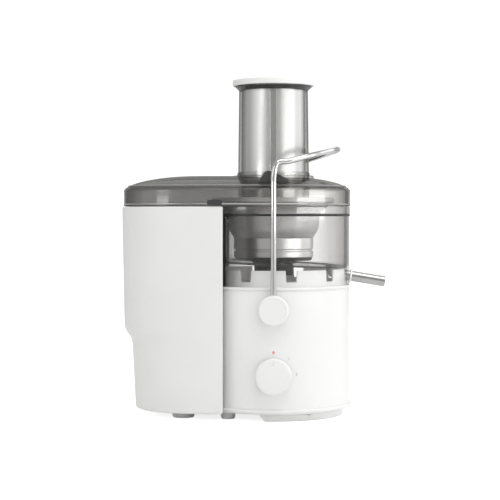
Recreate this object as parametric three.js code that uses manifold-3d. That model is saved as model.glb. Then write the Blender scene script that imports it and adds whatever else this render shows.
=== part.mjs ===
// Centrifugal juicer with a wide feed chute, a spinning strainer basket, a side bin for the pulp
// and a wire locking arm that clips over the lid.
// Millimetres, +Z up. Every function works from the basket's spin axis at x = 0, y = 0, with the spout
// towards +X, the pulp bin towards -X and the controls facing -Y. The worktop is z = 0.
import * as THREE from "three";
import { mergeVertices } from "three/addons/utils/BufferGeometryUtils.js";
import Module from "manifold-3d";

const wasm = await Module();
wasm.setup();

// ---- Driving dimensions ----
const GAP = 0.3; // air between pieces that touch
const LARGE = 32; // facets round a housing
const MEDIUM = 20; // facets round a hand-sized turned piece
const SMALL = 12; // facets round a pin

const BODY_RADIUS = 97.5; // motor housing and juice bowl
const WALL = 2.5; // moulded wall of the housing and the bowl
const BASE_Z = 9.5; // underside of the base plate and of the bin
const BASE_RADIUS = 100.5;
const HOUSING_Z = 15.5; // lower edge of the motor housing
const DECK_Z = 166; // top of the housing, where the bowl stands
const RING_RADIUS = 92.5; // notched ring that centres the bowl
const RING_TOP_Z = 186.5;
const NOTCH_Z = 172;
const BOWL_FLOOR_Z = 194.4;
const RIM_Z = 257; // underside of the bowl's rim
const BOWL_TOP_Z = 266;
const COLLAR_RADIUS = 30; // raised collar in the bowl's floor, round the drive
const COLLAR_TOP_Z = 218;

const LID_RADIUS = 99;
const LID_HALF_WIDTH = 94.5; // over the bin
const LID_REACH = 193; // from the spin axis to the lid's end over the bin
const LID_Z = 266.4;
const SHOULDER_Z = 290;
const DOME_RISE = 16;
const LID_WALL = 2.6;
const LID_BOSS_Z = 306.2; // flat seat for the chute's collar

const CHUTE_BORE = 41.2;
const CHUTE_NECK = 44; // outer radius just under the flared mouth
const CHUTE_OUTER = 46; // outer radius at the lid
const CHUTE_FOOT_Z = 236;
const CHUTE_TOP_Z = 421.4;
const PUSHER_RADIUS = 40.2;
const PUSHER_WALL = 3.4;
const PUSHER_FOOT_Z = 237.5;
const CAP_RADIUS = 53;
const OVERALL_Z = 430;

const BIN_REACH = 195;
const BIN_HALF_WIDTH = 94.5;
const BIN_EDGE_X = -62.8; // where the bin's two horns end beside the bowl
const BIN_SCOOP = 101.8; // radius of the face that wraps the housing
const BIN_TOP_Z = 265.8;
const BIN_WALL = 2.2;
const END_POWER = 2.5; // superellipse power of the bin's and the lid's long end

const PIVOT_Z = 138; // locking arm's axis, along Y
const FACE_Y = 110; // outer faces of the pivot caps and the dial, from the axis
const KNOB_BACK_Y = 98.4; // inner faces of the same
const WIRE_RADIUS = 3.2;
const WIRE_Y = 103.5; // the arm's two legs
const LOOP_REACH = 79; // how far the arm's loop stands out over the lid
const LOOP_HALF_WIDTH = 99;
const LOOP_START = new THREE.Vector3(4, 0, 317.5);
const LOOP_RISE = 22.6;
const DIAL_Z = 57;
const DIAL_RADIUS = 22.5;
const PIVOT_CAP_RADIUS = 19;

const SPOUT_REACH = 145; // furthest point of the spout
const SPOUT_RADIUS = 6.3;
const SPOUT_WALL = 1.4;
const SPOUT_SLOPE = THREE.MathUtils.degToRad(9.3);
const SPOUT_Z = 176.8; // height of the spout's axis where it leaves the bowl
const DRAIN_X = 74; // hole in the bowl's floor over the spout

const SHAFT_RADIUS = 5;
const BASKET_RADIUS = 51.3;
const BASKET_Z = 226.6; // top of the basket's base
const BASKET_TOP_Z = 277.7;
const MOTOR_RADIUS = 50;
const FOOT_RADIUS = 9;
const BIN_FOOT_RADIUS = 14;

// ---- Materials ----
const look = (color, roughness, metalness = 0, opacity = 1) =>
  new THREE.MeshStandardMaterial({ color, roughness, metalness, opacity, transparent: opacity < 1 });
const white = look(0xededea, 0.32);
const smoke = look(0x77766f, 0.08, 0, 0.45);
const silver = look(0xc9c8c5, 0.28, 0.9);
const steel = look(0xd5d5d3, 0.16, 1);
const strainer = look(0x9a9996, 0.4, 0.9);
const rubber = look(0x8e8e8c, 0.85);
const blackRubber = look(0x18181a, 0.7);
const darkPlastic = look(0x3c3c3d, 0.45);
const copper = look(0xb4683a, 0.4, 0.9);
const laminated = look(0x6a6c70, 0.5, 0.8);
const board = look(0x2f6b46, 0.6);

// ---- Shape helpers ----

// Evenly spaced numbers, both ends included.
const spread = (count, from, to) =>
  Array.from({ length: count + 1 }, (_, i) => THREE.MathUtils.lerp(from, to, i / count));

// Six times the volume inside a skin of triangles, negative when it is inside out.
function signedVolume(position, index) {
  const [a, b, c] = [new THREE.Vector3(), new THREE.Vector3(), new THREE.Vector3()];
  let sum = 0;
  for (let i = 0; i < index.length; i += 3) {
    a.fromBufferAttribute(position, index[i]);
    b.fromBufferAttribute(position, index[i + 1]);
    c.fromBufferAttribute(position, index[i + 2]);
    sum += a.dot(b.cross(c));
  }
  return sum;
}

// A three.js geometry as a closed manifold-3d solid with its faces pointing out.
function solidOf(geometry) {
  const bare = new THREE.BufferGeometry();
  bare.setAttribute("position", geometry.getAttribute("position"));
  bare.setIndex(geometry.index);
  const merged = mergeVertices(bare, 1e-3);
  const { position } = merged.attributes;
  const corners = merged.index.array;
  const flip = signedVolume(position, corners) < 0;
  const triangles = [];
  for (let i = 0; i < corners.length; i += 3) {
    const [a, b, c] = corners.slice(i, i + 3);
    if (a !== b && b !== c && c !== a) triangles.push(a, ...(flip ? [c, b] : [b, c]));
  }
  const skin = { numProp: 3, vertProperties: position.array, triVerts: new Uint32Array(triangles) };
  return new wasm.Manifold(new wasm.Mesh(skin));
}

// A solid of revolution about Z from [radius, z] points. Away from the axis the profile closes on itself.
function turned(profile, facets = MEDIUM) {
  const points = profile.map(([radius, z]) => new THREE.Vector2(radius, z));
  if (points[0].x > 0) points.push(points[0].clone());
  return solidOf(new THREE.LatheGeometry(points, facets).rotateX(Math.PI / 2));
}

// A plain ring or washer.
const ring = (inner, outer, low, high, facets = MEDIUM) =>
  turned([[inner, low], [outer, low], [outer, high], [inner, high]], facets);

// A turned piece whose [radius, y] profile runs out along -Y for side -1 and along +Y for side 1.
function turnedAlongY(profile, side, facets = MEDIUM) {
  return turned(profile, facets).rotate([-90 * side, 0, 0]);
}

function block([x0, x1], [y0, y1], [z0, z1]) {
  const box = new THREE.BoxGeometry(x1 - x0, y1 - y0, z1 - z0);
  return solidOf(box.translate((x0 + x1) / 2, (y0 + y1) / 2, (z0 + z1) / 2));
}

// A round bar between two points.
function bar(radius, from, to, facets = SMALL) {
  const start = new THREE.Vector3(...from);
  const along = new THREE.Vector3(...to).sub(start);
  const geometry = new THREE.CylinderGeometry(radius, radius, along.length(), facets);
  geometry.translate(0, along.length() / 2, 0);
  const turn = new THREE.Quaternion().setFromUnitVectors(new THREE.Vector3(0, 1, 0), along.normalize());
  return solidOf(geometry.applyQuaternion(turn).translate(...from));
}

// A prism: an outline of [x, z] points carried from y0 to y1.
function prismAlongY(outline, [y0, y1]) {
  const shape = new THREE.Shape(outline.map(([x, z]) => new THREE.Vector2(x, z)));
  const geometry = new THREE.ExtrudeGeometry(shape, { depth: y1 - y0, bevelEnabled: false });
  return solidOf(geometry.rotateX(Math.PI / 2).translate(0, y1, 0));
}

// A round section carried along a smooth line through the points, hollow when a bore is given.
function tube(points, radius, bore, lengthSteps, facets) {
  const section = new THREE.Shape().absarc(0, 0, radius, 0, 2 * Math.PI);
  if (bore > 0) section.holes.push(new THREE.Path().absarc(0, 0, bore, 0, 2 * Math.PI));
  const extrudePath = new THREE.CatmullRomCurve3(points, false, "centripetal");
  const options = { steps: lengthSteps, curveSegments: facets, extrudePath };
  return solidOf(new THREE.ExtrudeGeometry(section, options));
}

// A closed skin through rings of points that each run anticlockwise seen from above, capped at both ends.
function loft(rings) {
  const count = rings[0].length;
  const index = [];
  for (let low = 0; low < (rings.length - 1) * count; low += count) {
    for (let j = 0; j < count; j++) {
      const k = (j + 1) % count;
      index.push(low + j, low + k, low + count + k, low + j, low + count + k, low + count + j);
    }
  }
  const top = (rings.length - 1) * count;
  const outline = rings[0].map((point) => new THREE.Vector2(point.x, point.y));
  for (const [a, b, c] of THREE.ShapeUtils.triangulateShape(outline, [])) {
    index.push(a, c, b, top + a, top + b, top + c);
  }
  return solidOf(new THREE.BufferGeometry().setFromPoints(rings.flat()).setIndex(index));
}

const onCircle = (radius, angle, z) =>
  new THREE.Vector3(radius * Math.cos(angle), radius * Math.sin(angle), z);

// A named mesh from a solid.
function part(name, solid, material) {
  const { vertProperties, triVerts } = solid.getMesh();
  const geometry = new THREE.BufferGeometry();
  geometry.setAttribute("position", new THREE.Float32BufferAttribute(vertProperties, 3));
  geometry.setIndex(new THREE.Uint32BufferAttribute(triVerts, 1));
  geometry.computeVertexNormals();
  const mesh = new THREE.Mesh(geometry, material);
  mesh.name = name;
  return mesh;
}

const FRONT = { name: "front", side: -1 };
const BACK = { name: "back", side: 1 };

// ---- Plan outlines ----

// The rounded long end over the bin: half a superellipse from its back corner round -X to its front corner.
function longEnd(edgeX, reach, halfWidth, z) {
  const power = 2 / END_POWER;
  return spread(24, Math.PI / 2, -Math.PI / 2).map((turn) => {
    const across = Math.sign(turn) * Math.abs(Math.sin(turn)) ** power;
    return new THREE.Vector3(edgeX - (reach + edgeX) * Math.abs(Math.cos(turn)) ** power, halfWidth * across, z);
  });
}

// The lid in plan, drawn in by inset: the long end, then half a circle round the bowl.
function lidRing(z, inset = 0) {
  const end = longEnd(BIN_EDGE_X, LID_REACH - inset, LID_HALF_WIDTH - inset, z);
  const round = spread(18, -Math.PI / 2, Math.PI / 2).map((angle) => onCircle(LID_RADIUS - inset, angle, z));
  return [...end, ...round];
}

// The bin in plan, drawn in by inset: the long end, then the scooped face that wraps the housing.
function binRing(z, reach, inset = 0) {
  const edgeX = BIN_EDGE_X - inset;
  const scoop = BIN_SCOOP + inset;
  const turn = Math.acos(edgeX / scoop);
  const end = longEnd(edgeX, reach - inset, BIN_HALF_WIDTH - inset, z);
  return [...end, ...spread(14, 2 * Math.PI - turn, turn).map((angle) => onCircle(scoop, angle, z))];
}

// ---- Base and motor housing ----

const SCREW_ANGLES = spread(3, 30, 300).map(THREE.MathUtils.degToRad);
const SCREW_CIRCLE = 92.2;
const upright = (radius, at, low, high, facets = SMALL) =>
  bar(radius, [at.x, at.y, low], [at.x, at.y, high], facets);

function motorHousing() {
  const inside = BODY_RADIUS - WALL;
  const deckUnderZ = DECK_Z + 1 - WALL;
  let shell = turned(
    [
      [BODY_RADIUS, HOUSING_Z], [BODY_RADIUS, DECK_Z - 5], [BODY_RADIUS + 1.6, DECK_Z - 3.5],
      [BODY_RADIUS + 1.6, DECK_Z], [RING_RADIUS, DECK_Z], [RING_RADIUS, RING_TOP_Z],
      [RING_RADIUS - WALL, RING_TOP_Z], [RING_RADIUS - WALL, DECK_Z + 1], [20, DECK_Z + 1],
      [20, deckUnderZ], [inside, deckUnderZ], [inside, HOUSING_Z],
    ],
    LARGE,
  );
  for (let notch = 0; notch < 10; notch++) {
    const cut = block([RING_RADIUS - 6, RING_RADIUS + 1.5], [-7, 7], [NOTCH_Z, RING_TOP_Z + 1]);
    shell = shell.subtract(cut.rotate([0, 0, notch * 36 - 76]));
  }
  const spoutCut = block([RING_RADIUS - 6, RING_RADIUS + 1.5], [-9, 9], [DECK_Z + 2, RING_TOP_Z + 1]);
  shell = shell.subtract(spoutCut);
  for (const angle of SCREW_ANGLES) {
    const at = onCircle(SCREW_CIRCLE, angle, 0);
    shell = shell.add(upright(4.5, at, HOUSING_Z, 40)).subtract(upright(2.2, at, 10, 34));
  }
  for (const { side } of [FRONT, BACK]) {
    shell = shell.subtract(bar(6.5, [0, side * 90, PIVOT_Z], [0, side * 99, PIVOT_Z]));
  }
  const dialHole = bar(3.6, [0, -90, DIAL_Z], [0, -99, DIAL_Z]);
  const cordHole = bar(7.3, [0, 90, 32], [0, 99, 32]);
  return shell.subtract(dialHole).subtract(cordHole);
}

function basePlate() {
  const rim = BASE_RADIUS - 8.5;
  const outline = [
    [0, BASE_Z], [BASE_RADIUS - 2.5, BASE_Z], [BASE_RADIUS, BASE_Z + 2.5], [BASE_RADIUS, HOUSING_Z - GAP],
    [rim, HOUSING_Z - GAP], [rim, BASE_Z + 3], [0, BASE_Z + 3],
  ];
  let plate = turned(outline, LARGE);
  for (const angle of SCREW_ANGLES) {
    plate = plate.subtract(upright(2.2, onCircle(SCREW_CIRCLE, angle, 0), BASE_Z - 1, HOUSING_Z));
  }
  return plate;
}

// A long horseshoe foot under the spout side, open towards the bin.
function arcFoot() {
  const whole = ring(81, 89, 0, BASE_Z - GAP, LARGE);
  return whole.subtract(block([-100, -18.6], [-100, 100], [-1, BASE_Z + 1]));
}

const foot = (x, y, radius) => turned([
  [0, 0], [radius - 1, 0], [radius, 1], [radius, BASE_Z - GAP], [0, BASE_Z - GAP],
], SMALL).translate([x, y, 0]);

function baseScrew(angle) {
  const screw = turned([[0, BASE_Z - 2.4], [2.9, BASE_Z - 2.4], [2.9, BASE_Z - GAP], [1.8, BASE_Z - GAP],
    [1.8, 31], [0, 31]], SMALL);
  const at = onCircle(SCREW_CIRCLE, angle, 0);
  return screw.translate([at.x, at.y, 0]);
}

function baseParts() {
  const group = new THREE.Group();
  group.add(
    part("motor_housing", motorHousing(), white),
    part("base_plate", basePlate(), white),
    part("arc_foot", arcFoot(), white),
  );
  for (const { name, side } of [FRONT, BACK]) {
    group.add(part(`rubber_foot_${name}`, foot(-57, side * 58, FOOT_RADIUS), rubber));
  }
  SCREW_ANGLES.forEach((angle, i) => group.add(part(`base_screw_${i + 1}`, baseScrew(angle), steel)));
  return group;
}

// ---- Motor and controls inside the housing ----

// A cup that grips one end of the stator; side 1 is the upper one.
function motorBracket(side) {
  const middle = 83;
  const z = (distance) => middle + side * distance;
  return turned([
    [11.3, z(48)], [MOTOR_RADIUS + 3, z(48)], [MOTOR_RADIUS + 3, z(GAP)],
    [MOTOR_RADIUS + GAP, z(GAP)], [MOTOR_RADIUS + GAP, z(45)], [11.3, z(45)],
  ]);
}

function brushHolder(side) {
  const [near, far] = [side * 13.6, side * 33];
  return block([-6, 6], [Math.min(near, far), Math.max(near, far)], [44, 53]);
}

function speedSwitch() {
  const body = block([-14, 14], [-80, -62], [DIAL_Z - 14, DIAL_Z + 14]);
  return body.subtract(bar(3.4, [0, -81, DIAL_Z], [0, -70, DIAL_Z]));
}

const cordInlet = () =>
  turnedAlongY([[3.5, 90], [7, 90], [7, 98.2], [10, 98.2], [10, 101.5], [3.5, 101.5]], 1, SMALL)
    .translate([0, 0, 32]);

const pivotBush = (side) =>
  turnedAlongY([[4.3, 91.5], [9, 91.5], [9, 94], [6.2, 94], [6.2, 98], [4.3, 98]], side, SMALL)
    .translate([0, 0, PIVOT_Z]);

function motorParts() {
  const group = new THREE.Group();
  group.add(
    part("motor_stator", ring(34, MOTOR_RADIUS, 58, 108), laminated),
    part("field_winding_lower", ring(37, 47, 47, 58 - GAP), copper),
    part("field_winding_upper", ring(37, 47, 108 + GAP, 119), copper),
    part("motor_bracket_bottom", motorBracket(-1), laminated),
    part("motor_bracket_top", motorBracket(1), laminated),
    part("bearing_lower", ring(SHAFT_RADIUS + GAP, 11, 33, 42, SMALL), steel),
    part("bearing_upper", ring(SHAFT_RADIUS + GAP, 11, 124, 133, SMALL), steel),
    part("speed_switch", speedSwitch(), darkPlastic),
    part("interlock_switch", block([-12, 12], [60, 78], [PIVOT_Z - 11, PIVOT_Z + 11]), darkPlastic),
    part("control_board", block([20, 56], [-70, -68.4], [40, 92]), board),
    part("cord_inlet", cordInlet(), blackRubber),
    part("shaft_seal", ring(SHAFT_RADIUS + 0.6, 20 - GAP, DECK_Z - 1, DECK_Z + 2.5, SMALL), blackRubber),
  );
  for (const { name, side } of [FRONT, BACK]) {
    group.add(part(`brush_holder_${name}`, brushHolder(side), darkPlastic));
    group.add(part(`pivot_bush_${name}`, pivotBush(side), darkPlastic));
  }
  for (let i = 0; i < 3; i++) {
    const at = onCircle(40, (i * 2 * Math.PI) / 3, 0);
    group.add(part(`motor_mount_${i + 1}`, upright(6, at, BASE_Z + 3 + GAP, 35 - GAP), blackRubber));
  }
  return group;
}

// ---- Juice bowl and spout ----

function juiceBowl() {
  const inside = BODY_RADIUS - WALL;
  const floorUnderZ = BOWL_FLOOR_Z - WALL;
  const bowl = turned(
    [
      [BODY_RADIUS, DECK_Z + GAP], [BODY_RADIUS, RIM_Z - 2.3], [BODY_RADIUS - 1, RIM_Z - 2.3],
      [BODY_RADIUS - 1, RIM_Z], [BODY_RADIUS + 1, RIM_Z], [BODY_RADIUS + 1, BOWL_TOP_Z],
      [inside, BOWL_TOP_Z], [inside, BOWL_FLOOR_Z], [COLLAR_RADIUS, BOWL_FLOOR_Z],
      [COLLAR_RADIUS, COLLAR_TOP_Z], [COLLAR_RADIUS - WALL, COLLAR_TOP_Z],
      [COLLAR_RADIUS - WALL, floorUnderZ], [inside, floorUnderZ], [inside, DECK_Z + GAP],
    ],
    LARGE,
  );
  const drain = bar(SPOUT_RADIUS - SPOUT_WALL, [DRAIN_X, 0, 180], [DRAIN_X, 0, BOWL_FLOOR_Z + 1]);
  const wallHole = bar(SPOUT_RADIUS + 3 * GAP, spoutPoint(85), spoutPoint(110));
  return bowl.subtract(drain).subtract(wallHole);
}

// A point on the spout's straight, sloping axis.
const spoutPoint = (x) => [x, 0, SPOUT_Z - (x - BODY_RADIUS) * Math.tan(SPOUT_SLOPE)];

// The tube drops from the drain in the floor, turns and runs out through the bowl's wall.
function spout() {
  const endX = SPOUT_REACH - SPOUT_RADIUS * Math.sin(SPOUT_SLOPE);
  const top = BOWL_FLOOR_Z - WALL - GAP;
  const route = [
    [DRAIN_X, 0, top], [DRAIN_X, 0, top - 2], [DRAIN_X + 0.8, 0, top - 5], [DRAIN_X + 4.5, 0, top - 10],
    [DRAIN_X + 11, 0, top - 12.6], spoutPoint(92), spoutPoint(102), spoutPoint(120), spoutPoint(endX),
  ];
  return tube(route.map((at) => new THREE.Vector3(...at)), SPOUT_RADIUS, SPOUT_RADIUS - SPOUT_WALL, 12, 6);
}

function spoutCollar() {
  const collar = ring(SPOUT_RADIUS + 2 * GAP, SPOUT_RADIUS + 3.4, 0, 3, SMALL);
  const tilt = 90 + THREE.MathUtils.radToDeg(SPOUT_SLOPE);
  return collar.rotate([0, tilt, 0]).translate(spoutPoint(BODY_RADIUS + 2));
}

// The black ring under the bowl's rim, with a leg down each side where the bin's horns come up.
function bowlSeal() {
  let seal = ring(BODY_RADIUS - 0.7, BODY_RADIUS + 1, RIM_Z - 2, RIM_Z - GAP, LARGE);
  for (const { side } of [FRONT, BACK]) {
    const leg = block([BODY_RADIUS + 0.4, BODY_RADIUS + 1.8], [-1.3, 1.3], [DECK_Z + 1, RIM_Z - 0.6]);
    seal = seal.add(leg.rotate([0, 0, side * 128.5]));
  }
  return seal;
}

function bowlParts() {
  const group = new THREE.Group();
  group.add(
    part("juice_bowl", juiceBowl(), smoke),
    part("bowl_seal", bowlSeal(), blackRubber),
    part("spout", spout(), silver),
    part("spout_collar", spoutCollar(), white),
  );
  return group;
}

// ---- Lid and feed chute ----

// Height of the dome over the shoulder, at a distance in from the lid's edge.
const domeRise = (inset) => DOME_RISE * (1 - (1 - inset / LID_RADIUS) ** 2) ** 0.75;

// The lid as a full dome, drawn in on every side by wall.
function lidDome(lowZ, wall) {
  const insets = [0, 4, 12, 26, 46, 70, 88];
  const dome = insets.map((inset) => lidRing(SHOULDER_Z - wall + domeRise(inset), inset + wall));
  return loft([lidRing(lowZ, wall), ...dome]);
}

// The little hill on each shoulder that the locking arm snaps over.
function lug(side) {
  const hill = [
    [-18, SHOULDER_Z - 1], [18.6, SHOULDER_Z - 1], [18.6, 300.5], [8, 305], [-2, 309], [-9, 310.6], [-14, 306],
    [-18, 299],
  ];
  const sides = [side * 84, side * 98].sort((a, b) => a - b);
  return prismAlongY(hill, sides);
}

function lid() {
  const boss = upright(52, new THREE.Vector3(), SHOULDER_Z, LID_BOSS_Z, LARGE);
  let cover = lidDome(LID_Z, 0).add(boss).add(lug(-1)).add(lug(1));
  cover = cover.subtract(lidDome(LID_Z - 1, LID_WALL));
  return cover.subtract(upright(CHUTE_OUTER + GAP + 0.1, new THREE.Vector3(), 280, 320, LARGE));
}

function feedChute() {
  const collarZ = LID_BOSS_Z + GAP;
  const neckZ = CHUTE_TOP_Z - 5.5;
  const tubeWall = turned(
    [
      [CHUTE_BORE + 1.3, CHUTE_FOOT_Z], [CHUTE_OUTER, CHUTE_FOOT_Z], [CHUTE_OUTER, collarZ],
      [CHUTE_OUTER + 1, collarZ], [CHUTE_OUTER + 1, collarZ + 3], [CHUTE_OUTER - 0.2, collarZ + 4.5],
      [CHUTE_NECK, neckZ], [CHUTE_NECK + 5.2, CHUTE_TOP_Z], [CHUTE_NECK + 2.4, CHUTE_TOP_Z],
      [CHUTE_BORE, neckZ],
    ],
    LARGE,
  );
  const key = block([-3.3, 3.3], [-CHUTE_BORE - 1.2, -CHUTE_BORE + 2], [CHUTE_FOOT_Z + 2, neckZ]);
  return tubeWall.add(key);
}

function lidParts() {
  const group = new THREE.Group();
  group.add(part("lid", lid(), smoke), part("feed_chute", feedChute(), smoke));
  return group;
}

// ---- Food pusher ----

const KEYWAY = [[-4, 4], [-PUSHER_RADIUS - 1, -PUSHER_RADIUS + 2]];

function pusherParts() {
  const inside = PUSHER_RADIUS - PUSHER_WALL;
  const sleeve = ring(inside, PUSHER_RADIUS, PUSHER_FOOT_Z + 3.5, CHUTE_TOP_Z, LARGE);
  const base = turned([
    [0, PUSHER_FOOT_Z], [PUSHER_RADIUS, PUSHER_FOOT_Z], [PUSHER_RADIUS, PUSHER_FOOT_Z + 3.2],
    [inside - GAP, PUSHER_FOOT_Z + 3.2], [inside - GAP, PUSHER_FOOT_Z + 8], [0, PUSHER_FOOT_Z + 8],
  ], LARGE);
  const cap = turned([
    [0, CHUTE_TOP_Z - 7], [inside - GAP, CHUTE_TOP_Z - 7], [inside - GAP, CHUTE_TOP_Z + GAP],
    [CAP_RADIUS - 0.6, CHUTE_TOP_Z + GAP], [CAP_RADIUS, CHUTE_TOP_Z + 1.5], [CAP_RADIUS, OVERALL_Z - 3],
    [CAP_RADIUS - 1.2, OVERALL_Z - 1], [CAP_RADIUS - 4, OVERALL_Z], [0, OVERALL_Z],
  ], LARGE);
  const keyway = block(...KEYWAY, [PUSHER_FOOT_Z - 1, CHUTE_TOP_Z + 1]);
  const group = new THREE.Group();
  group.add(
    part("pusher_sleeve", sleeve.subtract(keyway), silver),
    part("pusher_foot", base.subtract(keyway), white),
    part("pusher_cap", cap, white),
  );
  return group;
}

// ---- Spinning drive and strainer basket ----

function coolingFan() {
  let fan = turned([[SHAFT_RADIUS + GAP, 109], [33, 109], [33, 110.5], [12, 110.5], [12, 120],
    [SHAFT_RADIUS + GAP, 120]]);
  for (let blade = 0; blade < 8; blade++) {
    fan = fan.add(block([11.5, 32], [-0.8, 0.8], [110, 119]).rotate([0, 0, blade * 45]));
  }
  return fan;
}

// A six-toothed dog that drives the basket's hub.
function driveCoupling() {
  let dog = turned([[0, 194], [11, 194], [13, 192], [13, 171], [SHAFT_RADIUS + GAP, 171],
    [SHAFT_RADIUS + GAP, 186.3], [0, 186.3]]);
  for (let tooth = 0; tooth < 6; tooth++) {
    dog = dog.add(block([12, 16], [-2.2, 2.2], [171, 190]).rotate([0, 0, tooth * 60]));
  }
  return dog;
}

const basketBase = () => turned([
  [0, BASKET_Z], [BASKET_RADIUS, BASKET_Z], [BASKET_RADIUS, 212], [BASKET_RADIUS - 2, 212],
  [BASKET_RADIUS - 2, 209], [BASKET_RADIUS, 209], [BASKET_RADIUS, 201.3], [46, 201.3],
  [46, BASKET_Z - 3.5], [0, BASKET_Z - 3.5],
]);

// The strainer's wall: a rounded cup that widens into a flared lip.
function meshBasket() {
  const wall = 1;
  const outside = [[51.8, BASKET_Z + GAP], [54.5, 231], [57.6, 237], [59, 243], [59.6, 257], [63.5, 262], [77, 271]];
  const inside = outside.map(([radius, z], i) => [radius - wall, z + (i > 3 ? 0.6 * wall : 0)]).reverse();
  return turned([...outside, ...inside]);
}

const graterDisc = () => turned([
  [0, BASKET_Z + GAP], [50.3, BASKET_Z + GAP], [50.3, BASKET_Z + 1.9], [9, BASKET_Z + 1.9], [6, BASKET_Z + 4.5],
  [0, BASKET_Z + 4.5],
]);

function driveParts() {
  const bore = SHAFT_RADIUS + GAP;
  const group = new THREE.Group();
  group.add(
    part("motor_shaft", upright(SHAFT_RADIUS, new THREE.Vector3(), 28, 186), steel),
    part("armature", ring(bore, 32.8, 60, 106), laminated),
    part("commutator", ring(bore, 13, 43.5, 56, SMALL), copper),
    part("cooling_fan", coolingFan(), darkPlastic),
    part("drive_coupling", driveCoupling(), darkPlastic),
    part("basket_hub", turned([[0, BASKET_Z - 3.8], [25, BASKET_Z - 3.8], [25, 178], [16.6, 178], [16.6, 194.6],
      [0, 194.6]]), darkPlastic),
    part("basket_base", basketBase(), silver),
    part("basket_base_ring", ring(45, BASKET_RADIUS - 1.3, 197, 201), darkPlastic),
    part("grater_disc", graterDisc(), steel),
    part("mesh_basket", meshBasket(), strainer),
    part("basket_rim", ring(75.4, 78.7, 271.9, BASKET_TOP_Z), silver),
  );
  return group;
}

// ---- Locking arm ----

// Half of the wire's route on one side, from the pivot cap up to the middle of the loop.
function armHalf(side) {
  const leg = [
    [0, WIRE_Y, PIVOT_Z + 8], [0, WIRE_Y, 200], [0, WIRE_Y, 290], [0, 103.2, 302],
    [0.6, 102.6, 308], [2.4, 101.6, 315.5], [4.4, 100.6, 319.6], [9, 99.4, 321.6],
  ];
  const points = leg.map(([x, y, z]) => new THREE.Vector3(x, side * y, z));
  for (const turn of spread(8, 0.16, Math.PI / 2)) {
    const out = Math.sin(turn);
    const ahead = new THREE.Vector3(LOOP_REACH * out, side * LOOP_HALF_WIDTH * Math.cos(turn), LOOP_RISE * out);
    points.push(ahead.add(LOOP_START));
  }
  return points;
}

function armWire() {
  const near = armHalf(-1);
  const far = armHalf(1).reverse().slice(1);
  return tube([...near, ...far], WIRE_RADIUS, 0, 96, 4);
}

function armCap(side) {
  const socket = KNOB_BACK_Y + 7;
  const cap = turnedAlongY([
    [0, FACE_Y], [PIVOT_CAP_RADIUS - 2, FACE_Y], [PIVOT_CAP_RADIUS, FACE_Y - 2], [PIVOT_CAP_RADIUS, KNOB_BACK_Y],
    [4.3, KNOB_BACK_Y], [4.3, socket], [0, socket],
  ], side);
  const wireHole = bar(WIRE_RADIUS + 0.5, [0, side * WIRE_Y, 7.5], [0, side * WIRE_Y, PIVOT_CAP_RADIUS + 2]);
  return cap.subtract(wireHole).translate([0, 0, PIVOT_Z]);
}

const pivotPin = (side) =>
  turnedAlongY([[0, 86], [7, 86], [7, 89], [4, 89], [4, KNOB_BACK_Y + 6.5], [0, KNOB_BACK_Y + 6.5]], side, SMALL)
    .translate([0, 0, PIVOT_Z]);

function armParts() {
  const group = new THREE.Group();
  group.add(part("arm_wire", armWire(), steel));
  for (const { name, side } of [FRONT, BACK]) {
    group.add(part(`arm_cap_${name}`, armCap(side), white));
    group.add(part(`pivot_pin_${name}`, pivotPin(side), steel));
  }
  return group;
}

// ---- Speed dial ----

function speedDial() {
  const knob = turnedAlongY([
    [0, FACE_Y], [DIAL_RADIUS - 2, FACE_Y], [DIAL_RADIUS, FACE_Y - 2], [DIAL_RADIUS, KNOB_BACK_Y],
    [3.3, KNOB_BACK_Y], [3.3, KNOB_BACK_Y + 7], [0, KNOB_BACK_Y + 7],
  ], -1, LARGE);
  const pointer = block([-1.3, 1.3], [-FACE_Y - 1, -FACE_Y + 2.5], [DIAL_RADIUS - 6, DIAL_RADIUS + 1]);
  return knob.subtract(pointer).translate([0, 0, DIAL_Z]);
}

function dialParts() {
  const group = new THREE.Group();
  group.add(
    part("speed_dial", speedDial(), white),
    part("dial_shaft", bar(3, [0, -71, DIAL_Z], [0, -KNOB_BACK_Y - 6.5, DIAL_Z]), steel),
  );
  return group;
}

// ---- Pulp bin ----

const GRIP_TOP_Z = 113;
const GRIP_LOW_Z = 93;

// The bin's skin drawn in by wall. Its left end steps in below the grip for the fingers.
function binBody(lowZ, topZ, wall) {
  return loft([
    binRing(lowZ, 174.7, wall + 3),
    binRing(lowZ + 3, 177.7, wall),
    binRing(GRIP_LOW_Z + wall, 182.4, wall),
    binRing(GRIP_TOP_Z + wall, 192.2, wall),
    binRing(topZ, BIN_REACH, wall),
  ]);
}

function binParts() {
  const outside = binBody(BASE_Z, BIN_TOP_Z, 0);
  const inside = binBody(BASE_Z + BIN_WALL, BIN_TOP_Z + 1, BIN_WALL);
  const group = new THREE.Group();
  group.add(part("pulp_container", outside.subtract(inside), white));
  for (const { name, side } of [FRONT, BACK]) {
    group.add(part(`bin_foot_${name}`, foot(-114, side * 44.5, BIN_FOOT_RADIUS), rubber));
  }
  return group;
}

// ---- The whole juicer, centred over its own box ----

const juicer = new THREE.Group();
juicer.name = "centrifugal_juicer";
juicer.position.x = (BIN_REACH - SPOUT_REACH) / 2;
juicer.add(
  baseParts(), motorParts(), bowlParts(), lidParts(), pusherParts(), driveParts(), armParts(), dialParts(),
  binParts(),
);

const scene = new THREE.Group();
scene.add(juicer);
export default scene;
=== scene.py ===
import math

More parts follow.
